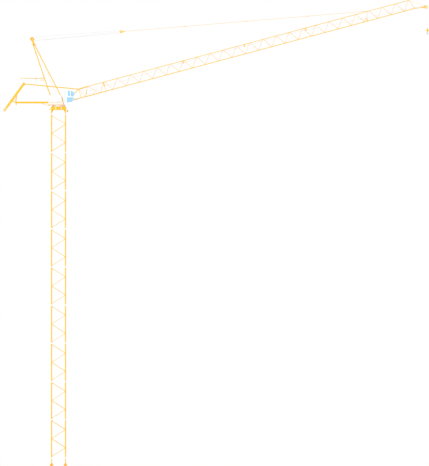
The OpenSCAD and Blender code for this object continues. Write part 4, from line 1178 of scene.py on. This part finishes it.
def dress_hoist_winch():
    rope_turns("hoist_winch_rope_turns", hoist_drum, HOIST_DRUM_R, 0.214, "jib")
    parts = Piece()
    for side, out in BOTH:
        parts.bolts(arc(hoist_drum, 0.124, 30, 150, side * 0.246, 6), out, 0.012)
        parts.turned(hoist_drum(0, side * 0.270, 0), out,
                     [(0.062, 0), (0.062, 0.010), (0.036, 0.014), (0.030, 0.022)], 28)
        parts.bolts(circle(hoist_drum, 0.05, 6, side * 0.280), out, 0.009)
        parts.bolts([hoist_drum(s, side * (0.375 + dy), -0.165) for s in (-0.085, 0.095, 0.665)
                     for dy in (-0.012, 0.022)], JIB_UP, 0.012)
    motor = near(hoist_drum, (0.62, 0.01))
    motor_fins(parts, motor, -0.145, 0.12, 0.078)
    parts.turned(motor(0, -0.170, 0), -Y, [(0.078, 0), (0.078, 0.03), (0.066, 0.042), (0, 0.046)], 28)
    parts.box((-0.035, -0.05, 0.072), (0.035, 0.04, 0.115), motor, 0.004)
    parts.box((0.324, -0.176, 0.030), (0.566, 0.156, 0.046), hoist_drum, 0.003)
    parts.bolts([hoist_drum(s, y, 0.060) for s in (0.345, 0.445, 0.545) for y in (-0.160, 0.140)],
                JIB_UP, 0.011)
    for (s, t), side in product(ROLLERS, SIDES):
        parts.lathe(jib(s, side * 0.052, t), Y * side,
                    [(0.030, 0), (0.040, 0.001), (0.046, 0.005), (0.046, 0.0095), (0.030, 0.0095)], 28)
        parts.bolt(jib(s, side * (0.078 if s == ROLLERS[-1][0] else 0.083), t), Y * side, 0.026)
    parts.done("hoist_winch_fittings", PALE, "jib")


def dress_jib_head():
    guard, bolts, hub, web = (Piece() for _ in range(4))
    guard_r = 0.160
    for side, out in BOTH:
        guard.beam(head_sheave(0, side * 0.0395, 0), head_sheave(0.103, side * 0.0395, 0.123), 0.024, 0.004)
        guard.ring(head_sheave(0, side * 0.037, 0), out, 0.023, 0.052, 0.0056)
        pin_end(bolts, head_sheave(0, side * 0.0426, 0), out, 0.022, 0.007)
        bolts.bolts([head_sheave(s, side * 0.037, t)
                     for s, t in ((-0.25, 0.045), (-0.19, 0.04), (-0.12, 0.03))], out, 0.014)
        hub.ring(head_sheave(0, side * 0.0185, 0), out, 0.023, 0.046, 0.003)
        web.ring(head_sheave(0, side * 0.0092, 0), out, 0.048, 0.098, 0.003, 40)
        for p in circle(head_sheave, 0.076, 6, side * 0.0118, 0.5):
            hub.turned(p, out, [(0.013, 0), (0.011, 0.002)], 20)
    for angle in (50, 110):
        guard.rod(*(around(head_sheave, guard_r, angle / 360, y) for y in (-0.0425, 0.0425)), 0.006, 12)
    for y in (-0.039, 0.039):
        guard.beam(head_sheave(0, y, 0), around(head_sheave, guard_r, 110 / 360, y), 0.020, 0.004)
    guard.done("head_sheave_guard", AMBER, "jib")
    bolts.done("jib_head_bolts", PALE, "jib")
    hub.done("head_sheave_hub", PALE, "head_sheave")
    web.done("head_sheave_web", WHITE, "head_sheave")


# ---------------------------------------------------------------- ballast, ties and hook


def dress_lever():
    plates, bolts = Piece(), Piece()
    for side, out in BOTH:
        plates.ring(lever_pivot(0, side * 0.410, 0), out, 0.032, 0.062, 0.005, 32)
        plates.ring(lever_pivot(0, side * 0.350, 0), -out, 0.032, 0.062, 0.004, 32)
        plates.ring(lever(0, side * 0.410, 0), out, 0.024, 0.052, 0.004, 32)
        for share in (0, 0.13, 0.32):
            plates.ring(lever(share * LEVER_L, side * 0.352, 0), -out, 0.0362, 0.046, 0.006)
        bolts.bolts([lever(share * LEVER_L, side * 0.408, v)
                     for share in (0.40, 0.455, 0.505, 0.56, 0.67, 0.715, 0.765, 0.81)
                     for v in (-0.045, 0.045)], out, 0.022)
        for share in (0.865, 0.915, 0.965):
            bolts.turned(lever(share * LEVER_L, side * 0.407, 0), out,
                         [(0.03, 0), (0.03, 0.006), (0.026, 0.01)], 28)
            bolts.bolt(lever(share * LEVER_L, side * 0.416, 0), out, 0.022)
    # The clamps and lifting eyes of the ballast slabs, on both faces of each slab.
    slabs = ((0.376, 0.480), (0.482, 0.584), (0.647, 0.739), (0.741, 0.835))
    for (low, high), side in product(slabs, SIDES):
        u0, u1, v, out = low * LEVER_L, high * LEVER_L, side * 0.083, LEVER_OUT * side
        for u in (u0 + 0.030, u1 - 0.030):
            plates.beam(lever(u, -0.335, v), lever(u, 0.335, v), 0.034, 0.010, out)
            bolts.bolts([lever(u, y, v) + out * 0.005 for y in (-0.31, 0.31)], out, 0.018)
        mid = (u0 + u1) / 2
        for y in (-0.18, 0.18):
            plates.ring(lever(mid, y, v), out, 0.022, 0.040, 0.003)
            bolts.sweep([lever(mid + 0.022 * math.cos(a), y, v) + out * (0.001 + 0.006 * math.sin(a))
                         for a in (math.pi * k / 8 for k in range(9))], 0.004, 8)
    plates.done("lever_clamps", AMBER, "lever")
    bolts.done("lever_bolts", PALE, "lever")


def dress_tie_rods():
    plates, pins = Piece(), Piece()
    heel, top = heel_top(0, 0, 0), lever(0, 0, 0)
    along = (top - heel).normalized()
    for _, out in BOTH:
        for eye in (heel, top):
            plates.ring(eye + out * 0.466, out, 0.0235, 0.044, 0.003)
        pins.rod(top + out * 0.4245, top + out * 0.472, 0.0218, 24)
        pins.turned(top + out * 0.472, out, PIN_CAP)
        middle = heel.lerp(top, 0.5) + out * 0.446
        plates.beam(middle - along * 0.09, middle + along * 0.09, 0.072, 0.042, Y, 0.003)
        for d, face in product((-0.055, 0.055), SIDES):
            pin_end(pins, middle + along * d + Y * face * 0.021, Y * face, 0.011, stub=True)
        for end, turn in ((heel, 1), (top, -1)):
            neck = end + out * 0.446 + along * turn * 0.075
            plates.beam(neck - along * 0.02, neck + along * 0.02, 0.070, 0.040, Y, 0.004)
    plates.done("tie_rod_plates", AMBER, "tie_rods")
    pins.done("tie_rod_pins", PALE, "tie_rods")


def dress_pendants():
    plates, pins = Piece(), Piece()
    for side, out in BOTH:
        for u in (PENDANT_L * k / 4 for k in (1, 2, 3)):
            for du, face in product((-0.052, 0.052), SIDES):
                pin_end(pins, line(u + du, side * 0.066 + face * 0.014, 0), Y * face, 0.011, 0.010, True)
            for du in (-0.098, 0.098):
                plates.rod(*(line(u + du + d, side * 0.066, 0) for d in (-0.012, 0.012)), 0.014, 20)
        pin_end(pins, line(PENDANT_L, side * 0.078, 0), out, 0.018, stub=True)
        pin_end(pins, block(0, side * 0.056, 0), out, 0.022)
        plates.ring(line(0, side * 0.0795, 0), out, 0.0235, 0.038, 0.002)
        plates.beam(block(0, side * 0.0435, 0), block(0.17, side * 0.0435, 0), 0.036, 0.004)
        pins.bolts([line(PENDANT_L + u, side * 0.0538, v)
                    for u, v in ((-0.04, 0.03), (-0.04, -0.03), (0.10, 0.042), (0.10, -0.042))], out, 0.012)
    pins.rod(line(BECKET_AT - 0.035, -0.050, 0), line(BECKET_AT - 0.035, 0.050, 0), 0.009)
    pins.turned(line(BECKET_AT - 0.05, 0, 0), LINE, [(0.016, 0), (0.016, 0.03), (0.011, 0.07)], 20)
    plates.done("pendant_plates", AMBER, "pendant_gear")
    pins.done("pendant_pins", PALE, "pendant_gear")


def dress_hook():
    fittings, cheeks = Piece(), Piece()
    for side, out in BOTH:
        y = side * 0.050
        cheeks.turned(hook(0, y, 0), out, [(0.060, 0), (0.060, 0.004), (0.052, 0.008)], 32)
        fittings.bolts([hook(x, y, z) for z in (0.040, -0.030) for x in (-0.072, 0.072)], out, 0.018)
        fittings.bolts(circle(hook, 0.042, 6, side * 0.057), out, 0.010)
    for x in (-0.0795, 0.0795):
        cheeks.box((x - 0.014, -0.054, -0.03), (x + 0.014, 0.054, 0.04), hook, 0.006)
    fittings.turned(hook(0, 0, HOOK_TOP - 0.012), Z,
                    [(0.031, 0), (0.031, 0.012), (0.022, 0.018), (0.014, 0.060), (0.012, 0.075)])
    fittings.lathe(hook(0, 0, -0.113), Z,
                   [(0.0185, 0), (0.034, 0), (0.038, 0.006), (0.038, 0.016), (0.0185, 0.016)])
    # The hook's point and its latch, from the middle of the hook's bend.
    centre = hook(0, 0, -0.219)
    c, s = polar(1, 340 / 360)
    tip = centre + Vector((0.064 * c, 0, 0.064 * s))
    fittings.turned(tip, Vector((-s, 0, c)), [(0.0199, 0), (0.018, 0.008), (0.012, 0.015), (0, 0.019)])
    latch = centre + Vector((0.020, 0, 0.052))
    fittings.beam(latch, centre + Vector((0.056, 0, 0.000)), 0.004, 0.016, Y, 0.001)
    fittings.rod(latch - Y * 0.014, latch + Y * 0.014, 0.005, 12)
    cheeks.done("hook_block_cheeks", AMBER, "hook_gear")
    fittings.done("hook_fittings", GREY, "hook_gear")


# ---------------------------------------------------------------- floor, light and camera


def set_world():
    """An even sky that lights the part, and plain white where the camera or a reflection sees it."""
    world = bpy.data.worlds.new("studio")
    n = Nodes(world)
    ray = n.wire("LightPath").outputs
    reflected = n.math("MAXIMUM", ray["Is Glossy Ray"], ray["Is Transmission Ray"])
    seen = n.math("MAXIMUM", ray["Is Camera Ray"], reflected)
    sky = n.wire("Background", {"Color": (1, 1, 1), "Strength": n.span(seen, 0.0, 1.0, SKY_LIGHT, 1.0)})
    n.wire("OutputWorld", {"Surface": sky.outputs[0]})
    bpy.context.scene.world = world


def add_sun(name, direction, strength, angle):
    lamp = bpy.data.lights.new(name, "SUN")
    lamp.energy, lamp.angle = strength, math.radians(angle)
    obj = add_object(name, lamp)
    obj.rotation_mode = "QUATERNION"
    obj.rotation_quaternion = Vector(direction).to_track_quat("-Z", "Y")


def add_floor():
    """A pale floor a hair under the feet. It takes the shadows and looks white to the camera."""
    f = Finish("studio_floor")
    shader = f.wire("BsdfDiffuse", {"Color": (0.82, 0.82, 0.82)})
    seen = f.wire("LightPath").outputs["Is Camera Ray"]
    glow = f.wire("Emission", {"Color": (1, 1, 1), "Strength": f.times(seen, 0.22)})
    both = f.wire("AddShader", {0: shader.outputs[0], 1: glow.outputs[0]})
    f.wire("OutputMaterial", {"Surface": both.outputs[0]})
    mesh = bpy.data.meshes.new("studio_floor")
    x0, x1, y0, y1 = FLOOR
    corners = ((x0, y0), (x1, y0), (x1, y1), (x0, y1))
    mesh.from_pydata([(x, y, -0.002) for x, y in corners], [], [(0, 1, 2, 3)])
    mesh.materials.append(f.owner)
    floor = add_object("studio_floor", mesh)
    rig.stage(floor)


def add_camera():
    """The photograph is a straight side view: a very long lens far off, level, on the picture's centre."""
    data = bpy.data.cameras.new("camera")
    data.sensor_width = 36.0
    data.lens = data.sensor_width * CAMERA_DISTANCE / PICTURE_HEIGHT
    data.clip_start, data.clip_end = 10.0, 2500.0
    camera = add_object("camera", data)
    camera.location = (PICTURE_CENTRE[0], AXIS - CAMERA_DISTANCE, PICTURE_CENTRE[1])
    camera.rotation_euler = (math.radians(90), 0, 0)
    bpy.context.scene.camera = camera


set_world()
add_sun("key", (0.3, 0.9, -0.24), 0.95, 14)
add_sun("fill", (-0.6, -0.7, -0.45), 0.4, 30)
add_floor()
add_camera()
bpy.context.scene.view_settings.view_transform = "Standard"

dress_mast()
dress_tower_head()
dress_platform()
dress_luffing_winch()
dress_counter_jib()
dress_a_frame()
dress_service_arm()
dress_cabinet()
dress_cab()
dress_jib()
dress_hoist_winch()
dress_jib_head()
dress_lever()
dress_tie_rods()
dress_pendants()
dress_hook()
dress_ropes()

dressed_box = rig.bounds()
with open("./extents.json", "w") as size_file:
    json.dump({"cad": [list(map(float, c)) for c in cad_box], "dressed": [list(map(float, c)) for c in dressed_box]},
              size_file)
